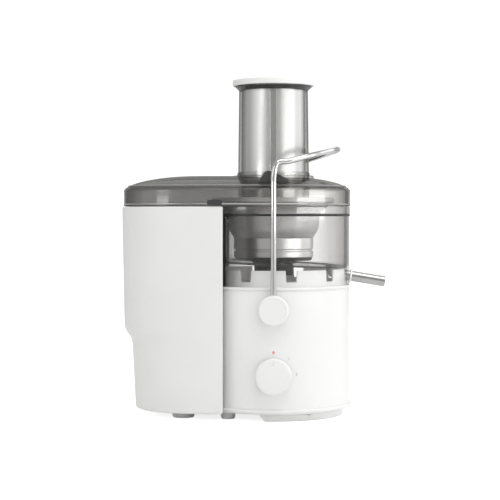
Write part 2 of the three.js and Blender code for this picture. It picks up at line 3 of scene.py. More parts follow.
import bmesh
import bpy
import numpy as np
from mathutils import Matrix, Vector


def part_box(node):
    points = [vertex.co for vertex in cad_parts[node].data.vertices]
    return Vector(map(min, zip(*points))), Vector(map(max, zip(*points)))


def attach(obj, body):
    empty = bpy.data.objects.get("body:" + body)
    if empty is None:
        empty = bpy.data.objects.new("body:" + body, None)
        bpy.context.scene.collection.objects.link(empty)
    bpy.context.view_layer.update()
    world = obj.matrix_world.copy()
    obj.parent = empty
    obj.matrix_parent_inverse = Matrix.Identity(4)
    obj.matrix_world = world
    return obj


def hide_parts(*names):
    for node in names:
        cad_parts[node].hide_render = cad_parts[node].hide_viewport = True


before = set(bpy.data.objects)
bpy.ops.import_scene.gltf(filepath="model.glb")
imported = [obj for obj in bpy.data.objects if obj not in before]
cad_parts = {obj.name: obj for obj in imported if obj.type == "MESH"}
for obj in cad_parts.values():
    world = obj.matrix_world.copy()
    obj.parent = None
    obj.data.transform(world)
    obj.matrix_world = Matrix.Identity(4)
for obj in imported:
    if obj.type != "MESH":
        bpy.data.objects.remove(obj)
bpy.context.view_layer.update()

# Centrifugal juicer: white drum housing, clear bowl with the strainer basket, smoked lid and chute,
# a side bin and a wire locking arm. Shapes are in millimetres from the basket's spin axis and the
# worktop, and are turned into metres in the frame when a mesh is made.
mm = 0.001


def middleX(node):
    low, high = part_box(node)
    return (low.x + high.x) / 2


def heights(node):
    low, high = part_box(node)
    return low.z / mm, high.z / mm


axisX = middleX("motor_shaft")


# grids and meshes

def softOutline(corners, steps=6):
    # Corners are [r, z, softness]. Each becomes a parabola between the points softness away on its
    # two sides, so p(t) = (1-t)^2 a + 2t(1-t) corner + t^2 b.
    corners = np.array(corners, float)
    point, soft = corners[:, None, :2], corners[:, None, 2:]
    before = np.roll(point, 1, 0) - point
    after = np.roll(point, -1, 0) - point
    before = before / np.linalg.norm(before, axis=2, keepdims=True) * soft
    after = after / np.linalg.norm(after, axis=2, keepdims=True) * soft
    t = np.linspace(0, 1, steps)[None, :, None]
    curve = (1 - t) ** 2 * (point + before) + 2 * t * (1 - t) * point + t ** 2 * (point + after)
    curve = curve.reshape(-1, 2)
    step = np.linalg.norm(np.diff(curve, axis=0), axis=1)
    return curve[np.concatenate([[True], step > 1e-6])]


def turnedGrid(outline, segments=160):
    # Surface of revolution: (r cos a, r sin a, z) for every outline point and angle a.
    angle = np.linspace(0, 2 * np.pi, segments, endpoint=False)
    r, z = outline[:, :1], outline[:, 1:]
    return np.stack([r * np.cos(angle), r * np.sin(angle), z + 0 * angle], -1)


def alongY(grid, side):
    # A turned grid laid over so that its height runs out along -Y (side -1) or +Y (side 1).
    x, y, z = np.moveaxis(grid, -1, 0)
    return np.stack([x, side * z, -side * y], -1)


def sweptGrid(path, radius, reference, sides=24):
    # A circle carried along a path: p + r (cos a * side + sin a * up), with side = reference x tangent.
    tangent = np.gradient(path, axis=0)
    tangent /= np.linalg.norm(tangent, axis=1, keepdims=True)
    side = np.cross(reference, tangent)
    side /= np.linalg.norm(side, axis=1, keepdims=True)
    up = np.cross(tangent, side)
    angle = np.linspace(0, 2 * np.pi, sides, endpoint=False)[None, :, None]
    radius = np.broadcast_to(radius, len(path))[:, None, None]
    return path[:, None] + radius * (np.cos(angle) * side[:, None] + np.sin(angle) * up[:, None])


def cutCorners(path, rounds=4):
    # Each round puts two points at a quarter and three quarters of every stretch, and keeps the ends.
    for _ in range(rounds):
        near = 0.75 * path[:-1] + 0.25 * path[1:]
        far = 0.25 * path[:-1] + 0.75 * path[1:]
        path = np.vstack([path[:1], np.stack([near, far], 1).reshape(-1, 3), path[-1:]])
    return path


def gridFaces(rows, columns, wrapRows, wrapColumns):
    i = np.arange(rows if wrapRows else rows - 1)[:, None]
    j = np.arange(columns if wrapColumns else columns - 1)[None, :]
    k, m = (i + 1) % rows, (j + 1) % columns
    return np.stack([i * columns + j, i * columns + m, k * columns + m, k * columns + j], -1).reshape(-1, 4)


def facingOut(points, faces):
    # Six times the signed volume under the faces: negative when a closed skin is inside out.
    a, b, c, d = (points[faces[:, n]] for n in range(4))
    volume = (a * np.cross(b, c)).sum() + (a * np.cross(c, d)).sum()
    return faces if volume >= 0 else faces[:, ::-1]


def pieceOf(name, grids, sharp=38, wrapRows=True, wrapColumns=True):
    # One object from one or more grids of millimetre points, each a closed skin of its own.
    points, faces, offset = [], [], 0
    for grid in grids if isinstance(grids, list) else [grids]:
        flat = grid.reshape(-1, 3)
        faces.append(facingOut(flat, gridFaces(*grid.shape[:2], wrapRows, wrapColumns)) + offset)
        points.append(flat)
        offset += len(flat)
    return meshPiece(name, np.vstack(points), np.vstack(faces).tolist(), sharp)


def meshPiece(name, points, faces, sharp=38):
    mesh = bpy.data.meshes.new(name)
    mesh.from_pydata((points * mm + [axisX, 0, 0]).tolist(), [], faces)
    work = bmesh.new()
    work.from_mesh(mesh)
    bmesh.ops.remove_doubles(work, verts=work.verts, dist=2e-6)
    bmesh.ops.dissolve_degenerate(work, edges=work.edges, dist=1e-7)
    work.to_mesh(mesh)
    work.free()
    mesh.polygons.foreach_set("use_smooth", np.ones(len(mesh.polygons), bool))
    mesh.set_sharp_from_angle(angle=math.radians(sharp))
    piece = bpy.data.objects.new(name, mesh)
    bpy.context.scene.collection.objects.link(piece)
    weighted = piece.modifiers.new("weightedNormals", "WEIGHTED_NORMAL")
    weighted.keep_sharp = True
    return piece


def dress(piece, material, body, slotName, *nodes):
    piece.data.materials.clear()
    piece.data.materials.append(material)
    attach(piece, body)
    if nodes:
        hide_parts(*nodes)
    return piece


# materials

def blank(name):
    material = bpy.data.materials.new(name)
    material.use_nodes = True
    tree = material.node_tree
    tree.nodes.clear()
    return material, tree


def node(tree, kind, settings=None, **inputs):
    made = tree.nodes.new(kind)
    for key, value in (settings or {}).items():
        setattr(made, key, value)
    for key, value in inputs.items():
        made.inputs[key.replace("_", " ")].default_value = value
    return made


def objectNoise(tree, scale, detail=3.0, stretch=(1, 1, 1)):
    place = node(tree, "ShaderNodeTexCoord")
    mapping = node(tree, "ShaderNodeMapping", Scale=stretch)
    noise = node(tree, "ShaderNodeTexNoise", Scale=scale, Detail=detail)
    tree.links.new(place.outputs["Object"], mapping.inputs["Vector"])
    tree.links.new(mapping.outputs["Vector"], noise.inputs["Vector"])
    return noise.outputs["Fac"]


def spreadOver(tree, source, low, high):
    scaled = node(tree, "ShaderNodeMapRange", To_Min=low, To_Max=high)
    tree.links.new(source, scaled.inputs["Value"])
    return scaled.outputs["Result"]


def blendColour(tree, factor, first, second):
    ramp = node(tree, "ShaderNodeValToRGB")
    ramp.color_ramp.elements[0].color = (*first, 1)
    ramp.color_ramp.elements[1].color = (*second, 1)
    ramp.color_ramp.elements[0].position = 0.3
    ramp.color_ramp.elements[1].position = 0.7
    tree.links.new(factor, ramp.inputs["Fac"])
    return ramp.outputs["Color"]


def bumpFrom(tree, height, strength, distance):
    bump = node(tree, "ShaderNodeBump", Strength=strength, Distance=distance)
    tree.links.new(height, bump.inputs["Height"])
    return bump.outputs["Normal"]


def solidFinish(name, tones, roughness, grain, metallic=0.0, stretch=(1, 1, 1)):
    # Two close tones mottled at hand scale, roughness that wanders and a fine grain in the bump.
    material, tree = blank(name)
    shader = node(tree, "ShaderNodeBsdfPrincipled", Metallic=metallic)
    out = node(tree, "ShaderNodeOutputMaterial")
    mottle = objectNoise(tree, 14.0, 4.0, stretch)
    wander = objectNoise(tree, 60.0, 5.0, stretch)
    fine = objectNoise(tree, grain["scale"], 2.0, stretch)
    tree.links.new(blendColour(tree, mottle, *tones), shader.inputs["Base Color"])
    tree.links.new(spreadOver(tree, wander, *roughness), shader.inputs["Roughness"])
    tree.links.new(bumpFrom(tree, fine, grain["strength"], grain["depth"]), shader.inputs["Normal"])
    tree.links.new(shader.outputs["BSDF"], out.inputs["Surface"])
    return material


smoke = {"skin": 0.045, "power": 5.0, "binShadeStart": 0.012, "binShadeEnd": 0.062, "tintFade": 0.002}


def smokedFinish(name, clear, edge, solid, body, turn=(0.3, 0.95), binShadeSolid=None, untintedZ=None,
                 polish=(0.03, 0.09), mirror=1.0):
    # Tinted clear plastic: what is seen through it darkens towards grazing angles, a share of it is
    # solid grey, and a polished skin reflects more as it turns away, up to the mirror value. The grey
    # share can grow along -X, towards the bin: painted shade, darkening what is seen through the plastic
    # where the bin shades it. The tint can end below a height.
    material, tree = blank(name)
    out = node(tree, "ShaderNodeOutputMaterial")
    facing = node(tree, "ShaderNodeLayerWeight", Blend=0.5)
    ramp = node(tree, "ShaderNodeValToRGB")
    ramp.color_ramp.elements[0].position = turn[0]
    ramp.color_ramp.elements[0].color = (*clear, 1)
    ramp.color_ramp.elements[1].position = turn[1]
    ramp.color_ramp.elements[1].color = (*edge, 1)
    tree.links.new(facing.outputs["Facing"], ramp.inputs["Fac"])
    through = node(tree, "ShaderNodeBsdfTransparent")
    tree.links.new(ramp.outputs["Color"], through.inputs["Color"])
    place = node(tree, "ShaderNodeTexCoord")
    parts = node(tree, "ShaderNodeSeparateXYZ")
    tree.links.new(place.outputs["Object"], parts.inputs["Vector"])
    if untintedZ:
        tinted = node(tree, "ShaderNodeMapRange", From_Min=untintedZ, From_Max=untintedZ + smoke["tintFade"])
        either = node(tree, "ShaderNodeMix", {"data_type": "RGBA"})
        either.inputs["A"].default_value = (1, 1, 1, 1)
        tree.links.new(parts.outputs["Z"], tinted.inputs["Value"])
        tree.links.new(tinted.outputs["Result"], either.inputs["Factor"])
        tree.links.new(ramp.outputs["Color"], either.inputs["B"])
        tree.links.new(either.outputs["Result"], through.inputs["Color"])
    grey = node(tree, "ShaderNodeBsdfDiffuse")
    darker, lighter = tuple(0.94 * c for c in body), tuple(1.06 * c for c in body)
    tree.links.new(blendColour(tree, objectNoise(tree, 20.0), darker, lighter), grey.inputs["Color"])
    filled = node(tree, "ShaderNodeMixShader", Fac=solid)
    # Painted shade: the solid grey share rises towards the bin, where the bin shades what lies behind the
    # plastic.
    if binShadeSolid:
        share = node(tree, "ShaderNodeMapRange", {"interpolation_type": "SMOOTHSTEP"}, To_Min=binShadeSolid,
                     From_Min=axisX - smoke["binShadeEnd"], From_Max=axisX - smoke["binShadeStart"], To_Max=solid)
        tree.links.new(parts.outputs["X"], share.inputs["Value"])
        tree.links.new(share.outputs["Result"], filled.inputs["Fac"])
    tree.links.new(through.outputs["BSDF"], filled.inputs[1])
    tree.links.new(grey.outputs["BSDF"], filled.inputs[2])
    gloss = node(tree, "ShaderNodeBsdfGlossy")
    tree.links.new(spreadOver(tree, objectNoise(tree, 45.0, 5.0), *polish), gloss.inputs["Roughness"])
    wavy = bumpFrom(tree, objectNoise(tree, 9.0, 1.0), 0.015, 0.002)
    tree.links.new(wavy, gloss.inputs["Normal"])
    # Schlick's rule, skin + (mirror - skin) (1 - cos)^5, which is the same from inside and outside.
    grazing = node(tree, "ShaderNodeMath", {"operation": "POWER"})
    grazing.inputs[1].default_value = smoke["power"]
    tree.links.new(facing.outputs["Facing"], grazing.inputs[0])
    skin = node(tree, "ShaderNodeMixShader")
    tree.links.new(spreadOver(tree, grazing.outputs["Value"], smoke["skin"], mirror), skin.inputs["Fac"])
    tree.links.new(filled.outputs["Shader"], skin.inputs[1])
    tree.links.new(gloss.outputs["BSDF"], skin.inputs[2])
    tree.links.new(skin.outputs["Shader"], out.inputs["Surface"])
    return material


def meshFinish(name, tone, roughness, pitch):
    # Etched sheet: cells of a Voronoi pattern one pitch apart, each with a clear hole in its middle.
    material, tree = blank(name)
    out = node(tree, "ShaderNodeOutputMaterial")
    steel = node(tree, "ShaderNodeBsdfPrincipled", Base_Color=(*tone, 1), Metallic=0.7, Roughness=roughness)
    place = node(tree, "ShaderNodeTexCoord")
    cells = node(tree, "ShaderNodeTexVoronoi", Scale=1 / pitch, Randomness=0.15)
    tree.links.new(place.outputs["Object"], cells.inputs["Vector"])
    hole = node(tree, "ShaderNodeMapRange", From_Min=0.24, From_Max=0.34)
    tree.links.new(cells.outputs["Distance"], hole.inputs["Value"])
    through = node(tree, "ShaderNodeBsdfTransparent")
    mixed = node(tree, "ShaderNodeMixShader")
    tree.links.new(bumpFrom(tree, hole.outputs["Result"], 0.4, 0.0003), steel.inputs["Normal"])
    tree.links.new(hole.outputs["Result"], mixed.inputs["Fac"])
    tree.links.new(through.outputs["BSDF"], mixed.inputs[1])
    tree.links.new(steel.outputs["BSDF"], mixed.inputs[2])
    tree.links.new(mixed.outputs["Shader"], out.inputs["Surface"])
    return material


def greys(low, high, fall=0.01):
    # Two neutral tones, with blue below red and green by fall.
    return (low, low, low - fall), (high, high, high - fall)


moulded = {"scale": 900.0, "strength": 0.12, "depth": 0.0002}
faintLines = {"scale": 300.0, "strength": 0.01, "depth": 0.0001}
turnedLines = {"scale": 500.0, "strength": 0.025, "depth": 0.0001}
smoothSkin = {"scale": 300.0, "strength": 0.03, "depth": 0.0001}

whitePlastic = solidFinish("whitePlastic", greys(0.83, 0.86), (0.3, 0.4), moulded)
# A lighter copy of the housing's white plastic for the notched ring: painted light, making up for the light
# the clear bowl takes from it.
litRingPlastic = solidFinish("litRingPlastic", greys(0.93, 0.96), (0.3, 0.4), moulded)
binPlastic = solidFinish("binPlastic", greys(0.8, 0.83), (0.36, 0.5), moulded)
# The lid's and the bowl's solid grey share towards the bin is painted shade: the shaded bin and its dim
# inside, seen through them.
smokedLid = smokedFinish("smokedLid", (0.95, 0.945, 0.935), (0.46, 0.455, 0.445), 0.04, (0.13, 0.128, 0.124),
                         binShadeSolid=0.4, polish=(0.08, 0.12), mirror=0.35)
smokedChute = smokedFinish("smokedChute", (0.975, 0.975, 0.97), (0.3, 0.3, 0.29), 0.02, (0.2, 0.2, 0.19),
                           (0.45, 0.8))
smokedBowl = smokedFinish("smokedBowl", (0.975, 0.972, 0.968), (0.62, 0.615, 0.61), 0.02, (0.14, 0.14, 0.137),
                          (0.18, 0.95), binShadeSolid=0.28, untintedZ=0.189)
# Pale, mostly solid smoke for the shoulder bead. Its pale grey is painted highlight along the lid's shoulder,
# beside the real reflections that its round profile catches.
shoulderHighlightSmoke = smokedFinish("shoulderHighlightSmoke", (0.85, 0.845, 0.84), (0.6, 0.595, 0.59), 0.6, (0.42, 0.418, 0.41))
smokedThick = smokedFinish("smokedThick", (0.6, 0.595, 0.58), (0.4, 0.39, 0.38), 0.45, (0.1, 0.1, 0.097))
smokedFloor = smokedFinish("smokedFloor", (0.97, 0.968, 0.965), (0.88, 0.875, 0.87), 0.04, (0.3, 0.3, 0.295),
                           mirror=0.3)
satinSilver = solidFinish("satinSilver", greys(0.72, 0.78, 0.005), (0.31, 0.35), turnedLines, 1.0,
                          stretch=(0.2, 0.2, 6.0))
trimSilver = solidFinish("trimSilver", greys(0.42, 0.46, 0.005), (0.2, 0.28), smoothSkin, 1.0)
rimSilver = solidFinish("rimSilver", greys(0.68, 0.72), (0.42, 0.5), turnedLines, 0.8)
brushedSleeve = solidFinish("brushedSleeve", greys(0.76, 0.79, 0.005), (0.34, 0.38), faintLines, 1.0,
                            stretch=(3.0, 3.0, 0.3))
spoutSteel = solidFinish("spoutSteel", greys(0.46, 0.5, 0.005), (0.2, 0.28), smoothSkin, 1.0)
polishedSteel = solidFinish("polishedSteel", greys(0.64, 0.68, 0.005), (0.07, 0.14), smoothSkin, 1.0)
strainerMesh = meshFinish("strainerMesh", (0.62, 0.62, 0.615), 0.45, 0.0011)
greyRubber = solidFinish("greyRubber", greys(0.84, 0.88), (0.7, 0.85), moulded)
blackRubber = solidFinish("blackRubber", greys(0.012, 0.02, -0.001), (0.45, 0.6), moulded)
darkPlastic = solidFinish("darkPlastic", greys(0.035, 0.05, -0.002), (0.35, 0.5), moulded)
copperWire = solidFinish("copperWire", ((0.55, 0.25, 0.12), (0.66, 0.33, 0.17)), (0.3, 0.45), turnedLines,
                         0.9, stretch=(1, 1, 9.0))
stackedSteel = solidFinish("stackedSteel", ((0.24, 0.245, 0.26), (0.34, 0.345, 0.36)), (0.4, 0.6),
                           turnedLines, 0.8, stretch=(0.3, 0.3, 14.0))
boardGreen = solidFinish("boardGreen", ((0.015, 0.12, 0.05), (0.025, 0.17, 0.07)), (0.35, 0.5), moulded)
redMark = solidFinish("redMark", ((0.83, 0.25, 0.22), (0.86, 0.29, 0.26)), (0.4, 0.5), smoothSkin)
greyMark = solidFinish("greyMark", greys(0.26, 0.3, 0.0), (0.4, 0.5), smoothSkin)
print("stage: finishes")


# base and housing

housing = {"radius": 97.5, "wall": 2.5, "lowZ": heights("motor_housing")[0], "topZ": 166.0, "lip": 99.1,
           "ringRadius": 92.5, "ringTopZ": heights("motor_housing")[1], "notchZ": 172.0, "notches": 10,
           "notchWidth": 14.0, "notchEdge": 0.8, "firstNotch": -76.0, "spoutNotch": 18.0, "shaftHole": 20.0}
basePlate = {"radius": 100.5, "underside": 97.6, "seat": 97.2, "inside": 92.0, "floor": 3.0}
arcFoot = {"inner": 81.0, "outer": 89.0, "endX": -18.6, "lean": 7.5}


def housingShell():
    # Turned outline: up the drum, past a shadow line to the lip, over the deck and down the inner wall.
    h = housing
    outer, inner, deck, hole = h["radius"], h["radius"] - h["wall"], h["ringRadius"] - 6, h["shaftHole"]
    low, top = h["lowZ"], h["topZ"]
    corners = [
        [outer, low, 0.6], [outer, top - 5.2, 0.3], [outer - 0.7, top - 4.9, 0.2],
        [outer - 0.7, top - 4.1, 0.2], [outer, top - 3.8, 0.3], [h["lip"], top - 2.6, 0.9],
        [h["lip"], top, 0.7], [deck, top, 0], [deck, top + 1, 0.3], [hole, top + 1, 0.4],
        [hole, top - 1.5, 0.3], [inner, top - 1.5, 1.5], [inner, low, 0.3],
    ]
    return pieceOf("housingShell", turnedGrid(softOutline(corners), 256))


def notchedRing():
    # The ring's top is a height that drops to the notch floor wherever the angle is inside a notch.
    h = housing
    edge = h["notchEdge"]
    angle = np.radians(np.linspace(0, 360, 1800, endpoint=False))
    centres = np.radians(h["firstNotch"] + 360 / h["notches"] * np.arange(h["notches"]))
    away = np.abs((angle[:, None] - centres + np.pi) % (2 * np.pi) - np.pi) * h["ringRadius"]
    spoutAway = np.abs((angle + np.pi) % (2 * np.pi) - np.pi) * h["ringRadius"]
    inside = np.clip(((h["notchWidth"] + edge) / 2 - away.min(1)) / edge, 0, 1)
    spoutInside = np.clip(((h["spoutNotch"] + edge) / 2 - spoutAway) / edge, 0, 1)
    top = h["ringTopZ"] - (h["ringTopZ"] - h["notchZ"]) * inside
    top = top - (top - h["topZ"] - 3) * spoutInside
    outer, inner, foot = h["ringRadius"], h["ringRadius"] - h["wall"], h["topZ"] - 0.5
    section = softOutline([[outer, 0, 0], [outer, 1, 0.05], [inner, 1, 0.05], [inner, 0, 0]], 4)
    z = foot + (top - foot)[None, :] * section[:, 1:]
    grid = np.stack([section[:, :1] * np.cos(angle), section[:, :1] * np.sin(angle), z], -1)
    return pieceOf("notchedRing", grid)


def baseLip():
    # Turned outline: out across the underside, round the lip and back over the plate's floor.
    b, low = basePlate, heights("base_plate")[0]
    corners = [[0, low, 0], [b["underside"], low, 1.0], [b["radius"], low + 2.6, 1.6],
               [b["radius"], low + 5.6, 1.4], [b["seat"], low + 6.1, 0.4], [b["inside"], low + 5.7, 0],
               [b["inside"], low + b["floor"], 0], [0, low + b["floor"], 0]]
    return pieceOf("baseLip", turnedGrid(softOutline(corners), 256))


def arcFootRunner():
    # A rounded bar bent round the axis; each height has its own end angle, so the ends lean back.
    f, high = arcFoot, heights("arc_foot")[1]
    section = softOutline([[f["inner"], 0, 0.8], [f["outer"], 0, 0.8], [f["outer"], high, 0.2],
                           [f["inner"], high, 0.2]])
    r, z = section.T
    endX = f["endX"] + f["lean"] * (1 - z / high)
    angle = np.linspace(-1, 1, 181)[:, None] * np.arccos(endX / r)
    grid = np.stack([r * np.cos(angle), r * np.sin(angle), z + 0 * angle], -1)
    centre = grid.mean(1, keepdims=True)
    ends = [np.repeat(centre[:1], grid.shape[1], 1), grid, np.repeat(centre[-1:], grid.shape[1], 1)]
    return pieceOf("arcFootRunner", np.concatenate(ends), wrapRows=False)


def footPad(name, rubberFoot):
    # Turned outline whose underside is raised in the middle, so that the pad stands on its rim.
    low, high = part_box(rubberFoot)
    x, y = ((low.x + high.x) / 2 - axisX) / mm, (low.y + high.y) / 2 / mm
    r, top = (high.x - low.x) / 2 / mm, high.z / mm
    corners = [[0, 0.6, 0], [r - 4.5, 0.6, 0.3], [r - 3.8, 0, 0.3], [r - 1.2, 0, 0.6], [r, 2.2, 1.2],
               [r, top, 0.3], [0, top, 0]]
    grid = turnedGrid(softOutline(corners), 64)
    return pieceOf(name, grid + [x, y, 0])


dress(housingShell(), whitePlastic, "main_unit", "white_plastic", "motor_housing")
dress(notchedRing(), litRingPlastic, "main_unit", "white_plastic", "motor_housing")
dress(baseLip(), whitePlastic, "main_unit", "white_plastic", "base_plate")
dress(arcFootRunner(), whitePlastic, "main_unit", "white_plastic", "arc_foot")
for end in ("front", "back"):
    bodyFoot, binFoot = f"rubber_foot_{end}", f"bin_foot_{end}"
    dress(footPad(f"bodyFoot_{end}", bodyFoot), greyRubber, "main_unit", "grey_rubber", bodyFoot)
    dress(footPad(f"binPad_{end}", binFoot), greyRubber, "pulp_bin", "grey_rubber", binFoot)
print("stage: base and housing")


# dial, its marks and the pivot caps

knobs = {"face": 110.0, "back": 98.4, "dialRadius": 22.5, "dialZ": heights("speed_dial")[0] + 22.5,
         "dialBore": 3.4, "capRadius": 19.0, "capBore": 4.3, "boreDepth": 7.0,
         "pivotZ": heights("arm_cap_front")[0] + 19.0, "grooveLength": 9.0, "grooveDepth": 0.9}
marks = {"dropRadius": 1.55, "dropUp": 29.0, "numeralRadius": 28.6, "numeralSize": 4.6, "lift": 0.06}


def speedDial():
    # A disc with a softly domed face, which falls by 0.5 (r/R)^2. The pointer is a groove pressed into
    # the face near the top.
    k = knobs
    r, front, back, inside = k["dialRadius"], k["face"], k["back"], k["back"] + k["boreDepth"]
    corners = [[0, front, 0], [r * 0.5, front, 0], [r - 2.6, front - 0.5, 1.0], [r - 0.5, front - 1.3, 0.9],
               [r, front - 3, 1.0], [r, back, 0.3], [k["dialBore"], back, 0], [k["dialBore"], inside, 0],
               [0, inside, 0]]
    outline = softOutline(corners)
    rim, shaftBore = outline[outline[:, 0] > r - 3.3], outline[outline[:, 1] < inside + 0.01][-3:]
    face = np.linspace(0, 1, 40)[:, None] ** 0.8 * [r - 3.4, 0] + [0, front]
    face[:, 1] -= 0.5 * (face[:, 0] / r) ** 2
    grid = alongY(turnedGrid(np.vstack([face, rim, shaftBore]), 360), -1)
    x, y, z = np.moveaxis(grid, -1, 0)
    along = np.clip(z - (r - k["grooveLength"]), 0, 1) * np.clip((r - 2.6 - z) / 0.8, 0, 1)
    across = np.clip((1.0 - np.abs(x)) / 0.5, 0, 1)
    grid[..., 1] += k["grooveDepth"] * across * along * (y < 4 - front)
    return pieceOf("speedDial", grid + [0, 0, k["dialZ"]], wrapRows=False)


def pivotCap(side, name):
    # Turned outline, laid over: a flat face sunk by 0.3 inside a soft rim, and a bore from behind.
    k = knobs
    r, face, back, inside = k["capRadius"], k["face"], k["back"], k["back"] + k["boreDepth"]
    corners = [[0, face - 0.3, 0], [r - 4.2, face - 0.3, 0.4], [r - 3.4, face, 0.3],
               [r - 1.9, face - 0.1, 0.8], [r, face - 1.9, 1.2], [r, back, 0.3], [k["capBore"], back, 0], [k["capBore"], inside, 0],
               [0, inside, 0]]
    grid = alongY(turnedGrid(softOutline(corners), 160), side)
    return pieceOf(name, grid + [0, 0, k["pivotZ"]], wrapRows=False)


def onHousing(points):
    # Flat [x, z] points laid on the housing's round front, a hair proud of it: y = -sqrt(R^2 - x^2).
    radius = housing["radius"] + marks["lift"]
    return np.stack([points[:, 0], -np.sqrt(radius ** 2 - points[:, 0] ** 2), points[:, 1]], -1)


def redDot():
    # A drop: a disc (r sin t, r cos t) whose upper half is drawn out to a soft point.
    r = marks["dropRadius"]
    t = np.linspace(0, 2 * np.pi, 40, endpoint=False)
    s = np.linspace(0, 1, 5)[:, None]
    x = r * np.sin(t) * s
    z = r * np.cos(t) * s * np.where(np.cos(t) > 0, 1.55 - 0.25 * np.abs(np.sin(t)), 1.0)
    flat = np.stack([x, z + knobs["dialZ"] + marks["dropUp"]], -1).reshape(-1, 2)
    return meshPiece("offDot", onHousing(flat), gridFaces(5, 40, False, True)[:, ::-1].tolist())


def numeral(text, clockwise):
    # A generic figure beside the dial, at an angle clockwise from the top.
    radius = marks["numeralRadius"]
    curve = bpy.data.curves.new("numeral" + text, "FONT")
    curve.body, curve.size = text, marks["numeralSize"]
    curve.align_x, curve.align_y = "CENTER", "CENTER"
    flat = bpy.data.objects.new("numeralCurve" + text, curve)
    bpy.context.scene.collection.objects.link(flat)
    bpy.context.view_layer.update()
    mesh = flat.evaluated_get(bpy.context.evaluated_depsgraph_get()).to_mesh()
    points = np.array([v.co[:2] for v in mesh.vertices])
    faces = [tuple(p.vertices) for p in mesh.polygons]
    bpy.data.objects.remove(flat)
    turn = math.radians(clockwise)
    points = points + [radius * math.sin(turn), knobs["dialZ"] + radius * math.cos(turn)]
    return meshPiece("speedMark_" + text, onHousing(points), faces)


dress(speedDial(), whitePlastic, "dial", "white_plastic", "speed_dial")
dress(redDot(), redMark, "main_unit", "white_plastic")
dress(numeral("1", 42), greyMark, "main_unit", "white_plastic")
dress(numeral("2", 86), greyMark, "main_unit", "white_plastic")
dress(pivotCap(-1, "pivotCapFront"), whitePlastic, "locking_arm", "white_plastic", "arm_cap_front")
dress(pivotCap(1, "pivotCapBack"), whitePlastic, "locking_arm", "white_plastic", "arm_cap_back")
print("stage: dial and caps")


# locking arm

arm = {"wire": 3.6, "legY": 103.5, "reach": 79.0, "halfWidth": 99.0, "centre": (4.0, 0.0, 317.5),
       "rise": 22.6}


def lockingArm():
    # Straight legs, a short bend and half an ellipse (reach sin t, width cos t) that climbs as it goes out.
    a = arm
    out = a["legY"]
    leg = np.array([[0, out, knobs["pivotZ"] + 8], [0, out, 200], [0, out, 290], [0, out - 0.3, 302],
                    [0.6, out - 0.9, 308], [2.4, out - 1.9, 315.5], [4.4, out - 2.9, 319.6],
                    [9.0, out - 4.1, 321.6]])
    t = np.linspace(0.16, np.pi / 2, 14)
    loop = np.stack([a["reach"] * np.sin(t), a["halfWidth"] * np.cos(t), a["rise"] * np.sin(t)], -1)
    half = np.vstack([leg, loop + a["centre"]])
    path = cutCorners(np.vstack([half * [1, -1, 1], half[-2::-1]]), 4)
    path = np.vstack([path[:1], path, path[-1:]])
    path[0, 2] -= 1e-3
    path[-1, 2] -= 1e-3
    radius = np.full(len(path), a["wire"])
    radius[[0, -1]] = 0
    return pieceOf("lockingArmWire", sweptGrid(path, radius, np.array([-1.0, 0, 0]), 28), wrapRows=False)


dress(lockingArm(), polishedSteel, "locking_arm", "polished_steel", "arm_wire")
print("stage: locking arm")


# juice bowl, seal and spout

bowl = {"radius": 97.5, "wall": 2.5, "lowZ": 166.3, "floorZ": 194.4, "rimZ": 257.0, "topZ": 266.0,
        "collar": 30.0, "collarTop": 218.0, "slope": 0.05, "slopeFrom": 45.0, "slopeOver": 50.0}
seal = {"inner": 97.8, "outer": 99.3, "halfWidth": 1.6, "lowZ": 167.0, "highZ": 256.0, "turn": 128.4}


def juiceBowl():
    # Turned outline: up the clear wall, past the seal's groove to a thicker rim, and down inside.
    b = bowl
    outer, inner = b["radius"], b["radius"] - b["wall"]
    corners = [[outer, b["lowZ"], 0.4], [outer, b["rimZ"] - 3.1, 0.3], [outer - 1, b["rimZ"] - 3.1, 0.2],
               [outer - 1, b["rimZ"], 0.2], [outer + 1, b["rimZ"], 0.6], [outer + 1, b["topZ"], 0.8],
               [inner, b["topZ"], 0.8], [inner, b["lowZ"], 0.4]]
    return pieceOf("juiceBowl", turnedGrid(softOutline(corners), 256))


def bowlFloor():
    # The floor dips towards the spout: z falls by slope times x, growing from nothing at slopeFrom.
    b = bowl
    inner, top, under = b["radius"] - b["wall"] - 0.05, b["floorZ"], b["floorZ"] - b["wall"]
    collar, collarTop, collarBore = b["collar"], b["collarTop"], b["collar"] - b["wall"]
    corners = [[inner, top + 2, 0], [inner - 2.2, top, 2.2], [collar, top, 3.0], [collar, collarTop, 1.0],
               [collarBore, collarTop, 1.0], [collarBore, under, 0.6], [inner, under, 0]]
    grid = turnedGrid(softOutline(corners), 256)
    x, y, z = np.moveaxis(grid, -1, 0)
    reach = np.clip((np.hypot(x, y) - b["slopeFrom"]) / b["slopeOver"], 0, 1)
    grid[..., 2] -= b["slope"] * x * reach
    seamCorners = [[inner - 1.6, under + 0.2, 0.5], [inner, under + 0.2, 0.3], [inner, top + 0.1, 0.3],
                   [inner - 1.6, top + 0.1, 0.5]]
    seam = turnedGrid(softOutline(seamCorners), 256)
    seam[..., 2] -= b["slope"] * seam[..., 0]
    return pieceOf("bowlFloor", grid), pieceOf("bowlFloorSeam", seam)


